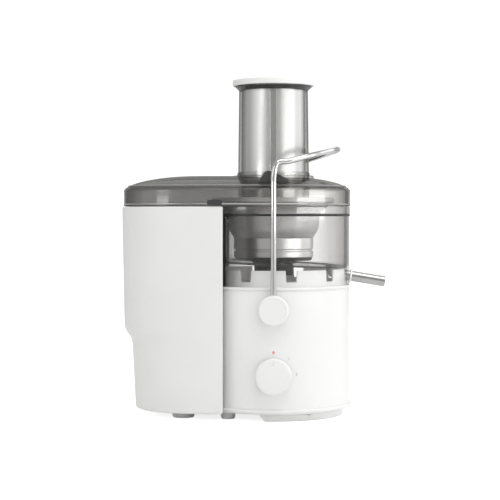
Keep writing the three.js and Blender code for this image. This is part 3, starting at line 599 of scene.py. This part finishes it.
def bowlSeal():
    # The ring under the rim, and a flat leg down each side beside the bin.
    s, ringLow, ringTop = seal, bowl["rimZ"] - 3.0, bowl["rimZ"] - 0.1
    ringCorners = [[96.8, ringLow, 0.3], [98.6, ringLow, 0.5], [98.6, ringTop, 0.5], [96.8, ringTop, 0.3]]
    ring = pieceOf("bowlSealRing", turnedGrid(softOutline(ringCorners), 256))
    half, low, high = s["halfWidth"], s["lowZ"], s["highZ"]
    section = softOutline([[s["inner"], -half, 0.3], [s["outer"], -half, 0.5], [s["outer"], half, 0.5],
                           [s["inner"], half, 0.3]])
    z = np.array([low, low, low + 1, high - 1, high, high])[:, None]
    legs = []
    for side in (-1, 1):
        swing = side * math.radians(s["turn"]) + section[:, 1] / s["inner"]
        flat = section[:, :1] * np.stack([np.cos(swing), np.sin(swing)], -1)
        leg = np.stack([flat[:, 0] + 0 * z, flat[:, 1] + 0 * z, z + 0 * swing], -1)
        middle = leg.mean(1, keepdims=True)
        leg[0], leg[-1] = middle[0], middle[-1]
        legs.append(leg)
    return ring, pieceOf("bowlSealLegs", legs, wrapRows=False)


spoutShape = {"radius": 6.9, "wall": 1.4, "slope": math.radians(9.3), "wallZ": 177.4, "drainX": 74.0,
              "reach": 145.0, "collarX": 98.6, "collarBore": 7.0, "collarRadius": 10.0}


def spoutAxisZ(x):
    return spoutShape["wallZ"] - (x - bowl["radius"]) * math.tan(spoutShape["slope"])


def spoutTube():
    # A hollow tube: down from the drain, round a bend and out along a gentle slope.
    s = spoutShape
    d, top = s["drainX"], bowl["floorZ"] - bowl["wall"] - 0.3
    end = s["reach"] - s["radius"] * math.sin(s["slope"])
    bend = [[d, 0, top], [d, 0, top - 4], [d + 2, 0, top - 10], [d + 9, 0, spoutAxisZ(d + 10) + 0.2]]
    slope = [[x, 0, spoutAxisZ(x)] for x in (d + 18, 110, 130, end)]
    path = cutCorners(np.array(bend + slope), 4)
    side = np.array([0, 1.0, 0])
    outer = sweptGrid(path, s["radius"], side, 40)
    inner = sweptGrid(path, s["radius"] - s["wall"], side, 40)
    return pieceOf("spoutTube", np.concatenate([outer, inner[::-1]]))


def spoutCollar():
    # A thin ring turned on the spout's axis and tilted with it.
    s = spoutShape
    bore, outer = s["collarBore"], s["collarRadius"]
    corners = [[bore, 0, 0.3], [outer, 0, 0.5], [outer - 0.4, 1.9, 0.8], [bore + 0.5, 2.4, 0.6],
               [bore, 2.4, 0.2]]
    x, y, z = np.moveaxis(turnedGrid(softOutline(corners), 64), -1, 0)
    c, n = math.cos(s["slope"]), math.sin(s["slope"])
    along = np.stack([z * c + x * n, y, x * c - z * n], -1)
    return pieceOf("spoutCollar", along + [s["collarX"], 0, spoutAxisZ(s["collarX"])])


dress(juiceBowl(), smokedBowl, "main_unit", "smoke_plastic", "juice_bowl")
floorPlate, floorSeam = bowlFloor()
dress(floorPlate, smokedFloor, "main_unit", "smoke_plastic", "juice_bowl")
dress(floorSeam, darkPlastic, "main_unit", "smoke_plastic", "juice_bowl")
sealRing, sealLegs = bowlSeal()
dress(sealRing, blackRubber, "main_unit", "black_rubber", "bowl_seal")
dress(sealLegs, blackRubber, "main_unit", "black_rubber", "bowl_seal")
dress(spoutTube(), spoutSteel, "main_unit", "silver_metal", "spout")
dress(spoutCollar(), whitePlastic, "main_unit", "white_plastic", "spout_collar")
print("stage: bowl and spout")


# strainer basket and drive

basket = {"radius": 51.3, "topZ": 226.6, "lowZ": 201.3, "rimInner": 75.4, "rimOuter": 78.7, "rimLowZ": 271.8,
          "rimZ": 277.7, "sheet": 0.8}
grater = {"radius": 50.2, "plate": 1.6, "hubRadius": 9.0, "hubTop": 4.2, "firstRing": 14, "lastRing": 44,
          "ringStep": 6}


def basketBase():
    # Turned outline of the base cup, with a groove round it, closed at the axis.
    r, top, low = basket["radius"], basket["topZ"], basket["lowZ"]
    corners = [[0, top, 0], [r, top, 1.2], [r, 212, 0.6], [r - 2, 211.6, 0.3], [r - 2, 209.4, 0.3],
               [r, 209, 0.6], [r, low, 0.9], [46, low, 0.3], [46, top - 3.5, 1.5], [0, top - 3.5, 0]]
    return pieceOf("basketBase", turnedGrid(softOutline(corners), 192), wrapRows=False)


def baseRing():
    # Turned outline of the ring under the base.
    corners = [[45, 197, 0.3], [49, 197, 1.5], [50, 201, 0.4], [45, 201, 0.3]]
    return pieceOf("basketBaseRing", turnedGrid(softOutline(corners), 160))


def strainerCup():
    # The cup's wall as a soft outline, doubled inwards by its thickness and turned.
    outer = softOutline([[51.8, 226.9, 0], [53.5, 230, 2.5], [58.2, 237, 5], [59.4, 257, 4], [64, 262.5, 3],
                         [77, 271.2, 0]])
    tangent = np.gradient(outer, axis=0)
    normal = np.stack([-tangent[:, 1], tangent[:, 0]], -1) / np.linalg.norm(tangent, axis=1, keepdims=True)
    outline = np.vstack([outer, (outer + basket["sheet"] * normal)[::-1]])
    return pieceOf("strainerCup", turnedGrid(outline, 192))


def basketRim():
    # Turned outline of the band round the cup's mouth.
    inner, outer, low, top = basket["rimInner"], basket["rimOuter"], basket["rimLowZ"], basket["rimZ"]
    corners = [[inner, low, 0.4], [outer, low, 0.8], [outer, top, 1.2], [inner, top, 1.2]]
    return pieceOf("basketRim", turnedGrid(softOutline(corners), 192))


def graterDisc():
    # Turned outline of a thin plate with a raised middle.
    g, low = grater, basket["topZ"] + 0.3
    plateZ, hubZ = low + g["plate"], low + g["hubTop"]
    corners = [[0, low, 0], [g["radius"], low, 0.3], [g["radius"], plateZ, 0.4], [g["hubRadius"], plateZ, 1.0],
               [g["hubRadius"] - 3, hubZ, 1.2], [0, hubZ, 0]]
    return pieceOf("graterDisc", turnedGrid(softOutline(corners), 128), wrapRows=False)


def graterTeeth():
    # Small pyramids, each a base square drawn to a leaning tip. A ring has as many teeth as its radius
    # in millimetres, and every second ring is turned by half a step.
    top = basket["topZ"] + 1.8
    counts = np.arange(grater["firstRing"], grater["lastRing"] + 1, grater["ringStep"])
    rings = [np.stack([np.full(n, n), 2 * np.pi * (np.arange(n) + 0.5 * (k % 2)) / n], -1)
             for k, n in enumerate(counts)]
    r, angle = np.vstack(rings).T
    local = np.array([[-0.9, -0.8, 0], [0.9, -0.8, 0], [0.9, 0.8, 0], [-0.9, 0.8, 0], [0.0, 1.3, 1.9]])
    c, s = np.cos(angle)[:, None], np.sin(angle)[:, None]
    x = (r[:, None] + local[:, 0]) * c - local[:, 1] * s
    y = (r[:, None] + local[:, 0]) * s + local[:, 1] * c
    points = np.stack([x, y, top + local[:, 2] + 0 * x], -1).reshape(-1, 3)
    shape = [[0, 1, 4], [1, 2, 4], [2, 3, 4], [3, 0, 4], [3, 2, 1], [3, 1, 0]]
    faces = (np.arange(len(r))[:, None, None] * 5 + np.array(shape)).reshape(-1, 3)
    return meshPiece("graterTeeth", points, faces.tolist(), 10)


dress(basketBase(), satinSilver, "drive", "silver_metal", "basket_base")
dress(baseRing(), darkPlastic, "drive", "dark_plastic", "basket_base_ring")
dress(strainerCup(), strainerMesh, "drive", "strainer_mesh", "mesh_basket")
dress(basketRim(), rimSilver, "drive", "silver_metal", "basket_rim")
dress(graterDisc(), polishedSteel, "drive", "polished_steel", "grater_disc")
dress(graterTeeth(), polishedSteel, "drive", "polished_steel")
print("stage: strainer basket")


# pusher and chute

pusher = {"radius": 40.2, "wall": 3.4, "plug": 36.4, "footZ": heights("pusher_foot")[0],
          "topZ": heights("pusher_sleeve")[1], "capRadius": 53.0, "capTop": heights("pusher_cap")[1],
          "key": 4.0, "keyDepth": 1.9}


def keyed(grid, nearRadius, depth, halfWidth):
    # Draws the wall in by depth where it faces the front within halfWidth of the middle.
    x, y, z = np.moveaxis(grid, -1, 0)
    r = np.hypot(x, y)
    across = np.clip((halfWidth + 0.3 - np.abs(x)) / 0.6, 0, 1) * (y < 0)
    outside = np.clip((r - nearRadius) / 0.05, 0, 1)
    scale = (r - depth * across * outside) / np.maximum(r, 1e-9)
    return np.stack([x * scale, y * scale, z], -1)


def pusherSleeve():
    # Turned outline of a plain tube with the key groove drawn in.
    p = pusher
    outer, inner, low, top = p["radius"], p["radius"] - p["wall"], p["footZ"] + 3.5, p["topZ"]
    corners = [[inner, low, 0.3], [outer, low, 0.5], [outer, top, 0.5], [inner, top, 0.3]]
    grid = turnedGrid(softOutline(corners), 480)
    return pieceOf("pusherSleeve", keyed(grid, inner + 0.2, p["keyDepth"], p["key"]))


def pusherFoot():
    # Turned outline of the end cap: a broad face below, and a plug that fits inside the sleeve.
    p = pusher
    r, z, plug = p["radius"], p["footZ"], p["plug"]
    corners = [[0, z + 0.8, 0], [34, z, 2], [r, z, 1.2], [r, z + 3.2, 0.4], [plug, z + 3.2, 0],
               [plug, z + 8, 0.6], [0, z + 8, 0]]
    grid = turnedGrid(softOutline(corners), 480)
    return pieceOf("pusherFoot", keyed(grid, plug + 0.2, p["keyDepth"], p["key"]), wrapRows=False)


def pusherCap():
    # Turned outline: a lightly dished top, a soft rim and a plug that fits inside the sleeve.
    p = pusher
    r, top, low, plug = p["capRadius"], p["capTop"], p["topZ"] + 0.3, p["plug"]
    corners = [[0, top - 0.5, 0], [r - 9, top - 0.2, 3], [r - 4, top, 2], [r - 0.4, top - 0.6, 1.6],
               [r, top - 4, 1.6], [r - 0.3, low, 1.2], [r - 3, low, 0.4], [r - 5, low + 1.5, 0.5],
               [plug, low + 1.5, 0.5], [plug, low - 7, 0.5], [0, low - 7, 0]]
    return pieceOf("pusherCap", turnedGrid(softOutline(corners), 224), wrapRows=False)


chute = {"bore": 41.2, "neck": 44.0, "foot": 46.0, "footZ": heights("feed_chute")[0], "mouth": 5.5,
         "topZ": heights("feed_chute")[1], "collarZ": 306.5, "keyOuter": 41.9, "keyInner": 39.3}


def feedChute():
    # Turned outline of the tapered tube up to the mouth.
    c = chute
    bore, foot, low, neck = c["bore"], c["foot"], c["footZ"], c["topZ"] - c["mouth"]
    corners = [[bore + 1.3, low, 0.6], [foot, low, 0.8], [foot - 0.2, c["collarZ"] + 3, 0],
               [c["neck"] + 0.6, neck, 0], [bore, neck, 0], [bore + 0.6, c["collarZ"], 0]]
    return pieceOf("feedChute", turnedGrid(softOutline(corners), 256))


def chuteMouth():
    # Turned outline of the flared mouth.
    c = chute
    top, low, neck = c["topZ"], c["topZ"] - c["mouth"], c["neck"]
    corners = [[neck + 0.7, low, 0.4], [neck + 2.4, low + 2, 1.6], [neck + 5.2, top - 1.0, 0.6],
               [neck + 5.2, top, 0.4], [neck + 2.6, top, 0.4], [c["bore"], low, 1.2]]
    return pieceOf("chuteMouth", turnedGrid(softOutline(corners), 256))


def chuteCollar():
    # Turned outline of the ring where the chute stands on the lid.
    foot, z = chute["foot"], chute["collarZ"]
    corners = [[foot - 0.3, z, 0.2], [foot + 0.9, z, 0.3], [foot + 0.9, z + 3.0, 0.8],
               [foot - 0.3, z + 4.4, 0.3]]
    return pieceOf("chuteCollar", turnedGrid(softOutline(corners), 256))


def chuteKey():
    # The rib inside the chute's front that keeps the pusher from turning.
    c = chute
    out, into = -c["keyOuter"], -c["keyInner"]
    section = softOutline([[-3.2, out, 0.4], [3.2, out, 0.4], [3.0, into, 0.6], [-3.0, into, 0.6]])
    low, top = c["footZ"] + 2, c["topZ"] - 6
    z = np.array([low, low, top, top])[:, None]
    rib = np.stack([section[:, 0] + 0 * z, section[:, 1] + 0 * z, z + 0 * section[:, 0]], -1)
    rib[0], rib[-1] = rib[0].mean(0), rib[-1].mean(0)
    return pieceOf("chuteKey", rib, wrapRows=False)


dress(pusherSleeve(), brushedSleeve, "pusher", "silver_metal", "pusher_sleeve")
dress(pusherFoot(), whitePlastic, "pusher", "white_plastic", "pusher_foot")
dress(pusherCap(), whitePlastic, "pusher", "white_plastic", "pusher_cap")
dress(feedChute(), smokedChute, "main_unit", "smoke_plastic", "feed_chute")
dress(chuteMouth(), smokedThick, "main_unit", "smoke_plastic", "feed_chute")
dress(chuteCollar(), smokedChute, "main_unit", "smoke_plastic", "feed_chute")
dress(chuteKey(), smokedChute, "main_unit", "smoke_plastic")
print("stage: pusher and chute")


# lid and pulp bin

plan = {"edgeX": -62.8, "power": 2.5, "lidRadius": 99.0, "lidReach": 193.0, "halfWidth": 94.5, "scoop": 101.8}
lidShape = {"lowZ": heights("lid")[0], "shoulderZ": 286.0, "rise": 20.0, "curve": 0.55, "wall": 2.6,
            "bossRadius": 52.0, "bossZ": 306.2, "hole": 46.4}
lug = {"backX": -18.5, "frontX": 18.8, "inY": 84.0, "outY": 97.9, "baseZ": 296.4, "shadowLowZ": 295.2,
       "footZ": 289.0}
binShape = {"lowZ": heights("pulp_container")[0], "topZ": heights("pulp_container")[1], "wall": 2.2,
            "stepZ": 103.5, "stepSoft": 3.2, "lowReach": 177.7, "lowLean": 0.052, "highReach": 192.3,
            "highLean": 0.0176, "edgeSoft": 1.6}


def longEnd(edgeX, reach, halfWidth):
    # Half a superellipse |x/a|^p + |y/b|^p = 1, from the back corner round -X to the front corner.
    p = plan["power"]
    turn = np.linspace(np.pi / 2, -np.pi / 2, 96)
    x = edgeX - (reach + edgeX) * np.abs(np.cos(turn)) ** (2 / p)
    y = halfWidth * np.sign(turn) * np.abs(np.sin(turn)) ** (2 / p)
    return np.stack([x, y], -1)


def lidOutline(inset=0.0):
    # The long end, straight sides that widen a little, and half a circle round the spin axis.
    end = longEnd(plan["edgeX"], plan["lidReach"] - inset, plan["halfWidth"] - inset)
    angle = np.linspace(-np.pi / 2, np.pi / 2, 72)
    arc = (plan["lidRadius"] - inset) * np.stack([np.cos(angle), np.sin(angle)], -1)
    straight = np.linspace(0, 1, 22)[1:-1, None]
    front = end[-1] + (arc[0] - end[-1]) * straight
    back = arc[-1] + (end[0] - arc[-1]) * straight
    return np.vstack([end, front, arc, back])


def outwards(edge):
    # Each plan point's distance from the spin axis and its direction.
    reach = np.linalg.norm(edge, axis=1, keepdims=True)
    return reach, edge / reach


def stacked(flats, z):
    # Plan outlines, one for each height, as rows of [x, y, z] points.
    return np.concatenate([flats, np.broadcast_to(z[:, None, None], (len(z), flats.shape[1], 1))], -1)


def lidInset(x, y):
    # How far a point lies in from the lid's edge: bisection on the inset whose outline passes through it.
    low, high = np.zeros_like(x), np.full_like(x, 94.0)
    for _ in range(24):
        inset = (low + high) / 2
        a = plan["lidReach"] + plan["edgeX"] - inset
        b = plan["halfWidth"] - inset
        level = np.abs((plan["edgeX"] - x) / a) ** plan["power"] + np.abs(y / b) ** plan["power"]
        low, high = np.where(level < 1, inset, low), np.where(level < 1, high, inset)
    widening = (plan["lidRadius"] - plan["halfWidth"]) / -plan["edgeX"]
    middle = plan["lidRadius"] + widening * x - np.abs(y)
    return np.where(x >= 0, plan["lidRadius"] - np.hypot(x, y), np.where(x > plan["edgeX"], middle, low))


def domeZ(x, y):
    # shoulder + rise (1 - (1 - d/R)^2)^curve, with d the distance in from the edge.
    d = np.clip(lidInset(x, y), 0, plan["lidRadius"])
    share = 1 - (1 - d / plan["lidRadius"]) ** 2
    return lidShape["shoulderZ"] + lidShape["rise"] * share ** lidShape["curve"]


def lidCover():
    # Wall, dome and the flat seat round the chute's hole, then the same skin again, one wall inwards.
    # A dome row is the edge drawn in towards the axis by a share of its way to the hole.
    s = lidShape
    edge, inEdge = lidOutline(), lidOutline(s["wall"])
    reach, toward = outwards(edge)
    inReach, inToward = outwards(inEdge)
    nearEdge = [0, 0.002, 0.006, 0.012, 0.02, 0.032, 0.05]
    share = np.append(nearEdge, np.linspace(0.08, 1, 26))[:, None, None]
    flat = toward * (reach + (s["bossRadius"] + 1.0 - reach) * share)
    dome = np.concatenate([flat, domeZ(flat[..., 0], flat[..., 1])[..., None]], -1)
    seatR = np.append(s["bossRadius"] - np.array([0, 0.3, 1.0]), s["hole"] + np.array([0.4, 0]))
    seatZ = s["bossZ"] - np.array([0.9, 0.25, 0, 0, 0.4])
    seat = stacked(toward * seatR[:, None, None], seatZ)
    seat[0, :, 2] = np.minimum(seat[0, :, 2], dome[-1, :, 2] + 0.5)
    sideZ = np.append(s["lowZ"] + np.array([0.4, 1.2, 2.2, 3.0, 3.6]), s["shoulderZ"] - np.array([8, 1]))
    sideOut = np.array([-0.4, 0.0, 0.0, -0.25, -0.35, -0.35, -0.2])
    side = stacked(edge + toward * sideOut[:, None, None], sideZ)
    inFlat = inToward * (inReach + (s["hole"] - inReach) * share[::2])
    inTop = domeZ(inFlat[..., 0], inFlat[..., 1]) - s["wall"] - 0.6
    inDome = np.concatenate([inFlat, inTop[..., None]], -1)
    inSide = stacked(np.stack([inEdge, inEdge]), np.array([s["lowZ"], s["shoulderZ"] - 6]))
    return pieceOf("lidCover", np.concatenate([side, dome, seat, inDome[::-1], inSide[::-1]]), 50)


def lidBead(name, inset, z, radius):
    # A round bead along the lid's plan outline: the edge moved in by inset, plus r (cos a out, sin a up).
    edge = lidOutline(inset)
    toward = outwards(edge)[1]
    angle = np.linspace(0, 2 * np.pi, 16, endpoint=False)[:, None, None]
    flat = edge + radius * np.cos(angle) * toward
    up = np.broadcast_to(z + radius * np.sin(angle), (16, len(edge), 1))
    return pieceOf(name, np.concatenate([flat, up], -1))


def lidLug(side, name):
    # A hill of [x, z] carried across the shoulder, its outer face just inside the lid's side.
    g, low = lug, lug["baseZ"]
    hill = softOutline([[g["backX"], low, 0.4], [g["frontX"], low, 0.4], [g["frontX"], low + 3.4, 1.5],
                        [8, low + 8.5, 4], [-1, low + 12.2, 3], [-6.5, low + 14.2, 2.5],
                        [-11, low + 12.6, 2.5], [-14.5, low + 6.6, 3], [g["backX"], low + 2.1, 1.5]])
    near, far = g["inY"], g["outY"]
    y = side * np.array([near, near, near + 0.8, far - 0.9, far, far])[:, None]
    shrink = np.array([0, 0.94, 1, 1, 0.96, 0])[:, None]
    centre = hill.mean(0)
    x = centre[0] + (hill[:, 0] - centre[0]) * shrink
    z = centre[1] + (hill[:, 1] - centre[1]) * shrink
    return pieceOf(name, np.stack([x, y + 0 * x, z], -1), 50, wrapRows=False)


def slab(name, x, y, z, soft):
    # A block between the given limits with its upright edges softened.
    section = softOutline([[x[0], z[0], soft], [x[1], z[0], soft], [x[1], z[1], soft], [x[0], z[1], soft]])
    y = np.array([y[0], y[0], y[1], y[1]])[:, None]
    grid = np.stack([section[:, 0] + 0 * y, y + 0 * section[:, 0], section[:, 1] + 0 * y], -1)
    grid[0], grid[-1] = grid[0].mean(0), grid[-1].mean(0)
    return pieceOf(name, grid, wrapRows=False)


def binReach(z):
    # Overhang of the long end: two lines that lean out slowly, below and above the finger hold, and a
    # soft step 1/(1 + e^-u) from one to the other.
    b = binShape
    step = 1 / (1 + np.exp(-(z - b["stepZ"]) / b["stepSoft"]))
    below = b["lowReach"] + (z - 9.5) * b["lowLean"]
    above = b["highReach"] + (z - 113) * b["highLean"]
    return below + (above - below) * step


def binOutline(reach, inset):
    # The long end, closed by the scoop that wraps the housing, with the four corners softened.
    edgeX = plan["edgeX"] - inset
    scoop = plan["scoop"] + inset
    turn = math.acos(edgeX / scoop)
    end = longEnd(edgeX, reach - inset, plan["halfWidth"] - inset)
    angle = np.linspace(2 * np.pi - turn, turn, 64)
    arc = scoop * np.stack([np.cos(angle), np.sin(angle)], -1)
    corners = np.vstack([end, arc])
    soft = np.zeros(len(corners))
    soft[[0, len(end) - 1, len(end), -1]] = binShape["edgeSoft"]
    return softCorners(corners, soft)


def softCorners(points, soft, steps=6):
    # As softOutline, but every point keeps its place in the count, so that rings of it stack.
    before = np.roll(points, 1, 0) - points
    after = np.roll(points, -1, 0) - points
    before *= (soft / np.linalg.norm(before, axis=1))[:, None]
    after *= (soft / np.linalg.norm(after, axis=1))[:, None]
    t = np.linspace(0, 1, steps)[None, :, None]
    curve = (1 - t) ** 2 * (points + before)[:, None] + 2 * t * (1 - t) * points[:, None] \
        + t ** 2 * (points + after)[:, None]
    keep = np.ones((len(points), steps), bool)
    keep[soft == 0, 1:] = False
    return curve[keep]


def pulpContainer():
    # Rings of the plan outline stacked up the height, down again inside, and closed over the floor.
    b = binShape
    low, top, wall = b["lowZ"], b["topZ"], b["wall"]
    z = np.concatenate([[low, low + 0.4, low + 1.2, low + 2.6], np.linspace(low + 6, 84, 14),
                        np.linspace(88, 120, 26), np.linspace(128, top - 2, 16), [top - 0.6, top]])
    inset = np.interp(z, [low, low + 0.4, low + 1.2, low + 2.6, top - 2, top - 0.6, top],
                      [2.6, 1.3, 0.45, 0, 0, 0.1, 0.5])
    inZ = np.concatenate([[top, top - 0.6], np.linspace(top - 2, low + 6, 30), [low + 3.4, low + 2.5]])
    inInset = wall + np.interp(inZ, [low + 2.5, low + 3.4, low + 6, top - 2, top - 0.6, top],
                               [3, 0.8, 0, 0, -0.1, -0.5])
    ringZ, ringInset = np.append(z, inZ), np.append(inset, inInset)
    grid = stacked(np.stack([binOutline(binReach(h), i) for h, i in zip(ringZ, ringInset)]), ringZ)
    bottom, floor = grid[:1].mean(1, keepdims=True), grid[-1:].mean(1, keepdims=True)
    bottom = np.repeat(bottom, grid.shape[1], 1)
    floor = np.repeat(floor, grid.shape[1], 1)
    return pieceOf("pulpContainer", np.concatenate([bottom, grid, floor]), wrapRows=False)


dress(lidCover(), smokedLid, "main_unit", "smoke_plastic", "lid")
dress(lidLug(-1, "lidLugFront"), smokedThick, "main_unit", "smoke_plastic")
dress(lidLug(1, "lidLugBack"), smokedThick, "main_unit", "smoke_plastic")
# Under each lug a thin black strip is painted shadow: the dark line where the lug sits on the shoulder. Below
# it is a clear foot.
for side, end in ((-1, "Front"), (1, "Back")):
    out = side * lug["outY"]
    seam = slab("lugShadowStrip" + end, (-18.8, 19.0), (out + side * 0.3, out - side * 1.5),
                (lug["shadowLowZ"], lug["baseZ"]), 0.4)
    foot = slab("lugFoot" + end, (lug["backX"], lug["frontX"]), (out, side * lug["inY"]),
                (lug["footZ"], lug["shadowLowZ"]), 0.4)
    dress(seam, blackRubber, "main_unit", "smoke_plastic")
    dress(foot, smokedBowl, "main_unit", "smoke_plastic")
# The shoulder bead's pale colour is painted highlight along the shoulder.
dress(lidBead("lidShoulderBead", 6.5, 292.3, 1.1), shoulderHighlightSmoke, "main_unit", "smoke_plastic")
dress(lidBead("lidRimBead", 0.9, 269.2, 1.2), trimSilver, "main_unit", "silver_metal")
lidTab = slab("lidTab", (-82.0, -63.5), (-95.4, -93.0), (267.6, 274.2), 3.0)
dress(lidTab, darkPlastic, "main_unit", "dark_plastic")
dress(pulpContainer(), binPlastic, "pulp_bin", "white_plastic", "pulp_container")
print("stage: lid and bin")


# the pieces inside keep their shapes and take a finish

insideFinish = {
    copperWire: ["field_winding_lower", "field_winding_upper", "commutator"],
    stackedSteel: ["motor_stator", "armature", "motor_bracket_bottom", "motor_bracket_top"],
    boardGreen: ["control_board"],
    blackRubber: ["cord_inlet", "shaft_seal", "motor_mount_1", "motor_mount_2", "motor_mount_3"],
    darkPlastic: ["speed_switch", "interlock_switch", "brush_holder_front", "brush_holder_back",
                  "pivot_bush_front", "pivot_bush_back", "cooling_fan", "drive_coupling", "basket_hub"],
    polishedSteel: ["pivot_pin_front", "pivot_pin_back", "motor_shaft", "bearing_lower", "bearing_upper",
                    "base_screw_1", "base_screw_2", "base_screw_3", "base_screw_4", "dial_shaft"],
}
for material, names in insideFinish.items():
    for name in names:
        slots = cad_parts[name].data.materials
        slots.clear()
        slots.append(material)
print("stage: inner pieces")


# camera, light and floor

view = {"distance": 1.9427, "height": 0.2555, "turn": math.radians(0.8976), "lens": 108.0, "shift": -0.07}
camera = bpy.data.objects.new("camera", bpy.data.cameras.new("camera"))
camera.data.lens, camera.data.sensor_width = view["lens"], 36.0
camera.data.shift_y = view["shift"]
camera.location = (axisX, -view["distance"], view["height"])
camera.rotation_euler = (math.pi / 2, 0, view["turn"])
camera.data.clip_end = 50
bpy.context.scene.collection.objects.link(camera)
bpy.context.scene.camera = camera


def softbox(name, azimuth, elevation, distance, width, height, power):
    # A panel light aimed at the juicer's middle; azimuth 0 is at the front and 90 on the spout side.
    light = bpy.data.lights.new(name, "AREA")
    light.shape, light.size, light.size_y, light.energy = "RECTANGLE", width, height, power
    lamp = bpy.data.objects.new(name, light)
    a, e = math.radians(azimuth), math.radians(elevation)
    aim = np.array([math.sin(a) * math.cos(e), -math.cos(a) * math.cos(e), math.sin(e)])
    lamp.location = aim * distance + [axisX, 0, 0.25]
    lamp.rotation_euler = (math.pi / 2 - e, 0, a)
    bpy.context.scene.collection.objects.link(lamp)


studio = {"frontLight": 0.45, "backLight": 0.55, "floorGlow": 0.8, "floorHalf": 6.0, "floorZ": -0.0004}
softbox("keyBox", 62, 14, 1.6, 2.0, 1.3, 4.1)
softbox("keyStrip", 71, 16, 1.5, 0.3, 0.6, 0.6)
softbox("rimStrip", 58, 2, 1.6, 1.4, 0.12, 3.3)
softbox("leftBox", -60, 12, 1.6, 1.2, 1.2, 2.2)
softbox("lidStrip", -47.5, 2.9, 1.65, 0.42, 0.12, 1.0)
softbox("leftStrip", -38, 20, 1.5, 0.3, 0.5, 0.9)
softbox("sideBox", 114, 16, 1.6, 1.1, 1.2, 3.9)
softbox("topBox", 25, 60, 1.5, 1.3, 1.0, 10)
softbox("backBox", 180, 40, 1.8, 1.4, 1.0, 5)

world = bpy.data.worlds.new("studio")
world.use_nodes = True
bpy.context.scene.world = world
tree = world.node_tree
tree.nodes.clear()
# White to the eye; as light, dim at the front of the studio and brighter round the sides and the back.
toward = node(tree, "ShaderNodeTexCoord")
parts = node(tree, "ShaderNodeSeparateXYZ")
room = node(tree, "ShaderNodeMapRange", {"interpolation_type": "SMOOTHSTEP"}, From_Min=-1.0, From_Max=0.35,
            To_Min=studio["frontLight"], To_Max=studio["backLight"])
seen = node(tree, "ShaderNodeLightPath")
white = node(tree, "ShaderNodeBackground", Color=(1, 1, 1, 1), Strength=1.1)
around = node(tree, "ShaderNodeBackground", Color=(1, 1, 1, 1))
either = node(tree, "ShaderNodeMixShader")
out = node(tree, "ShaderNodeOutputWorld")
tree.links.new(toward.outputs["Generated"], parts.inputs["Vector"])
tree.links.new(parts.outputs["Y"], room.inputs["Value"])
tree.links.new(room.outputs["Result"], around.inputs["Strength"])
tree.links.new(seen.outputs["Is Camera Ray"], either.inputs["Fac"])
tree.links.new(around.outputs["Background"], either.inputs[1])
tree.links.new(white.outputs["Background"], either.inputs[2])
tree.links.new(either.outputs["Shader"], out.inputs["Surface"])
bpy.context.scene.view_settings.view_transform = "Standard"

floorMesh = bpy.data.meshes.new("floor")
half, z = studio["floorHalf"], studio["floorZ"]
floorMesh.from_pydata([(-half, -half, z), (half, -half, z), (half, half, z), (-half, half, z)], [],
                      [(0, 1, 2, 3)])
floor = bpy.data.objects.new("floor", floorMesh)
bpy.context.scene.collection.objects.link(floor)
floorWhite, tree = blank("floorWhite")
paint = node(tree, "ShaderNodeBsdfPrincipled", Base_Color=(0.9, 0.9, 0.9, 1), Roughness=0.7)
paint.inputs["Emission Color"].default_value = (1, 1, 1, 1)
seen = node(tree, "ShaderNodeLightPath")
glow = spreadOver(tree, seen.outputs["Is Camera Ray"], 0.0, studio["floorGlow"])
tree.links.new(glow, paint.inputs["Emission Strength"])
tree.links.new(paint.outputs["BSDF"], node(tree, "ShaderNodeOutputMaterial").inputs["Surface"])
floor.data.materials.append(floorWhite)
print("stage: camera and light")
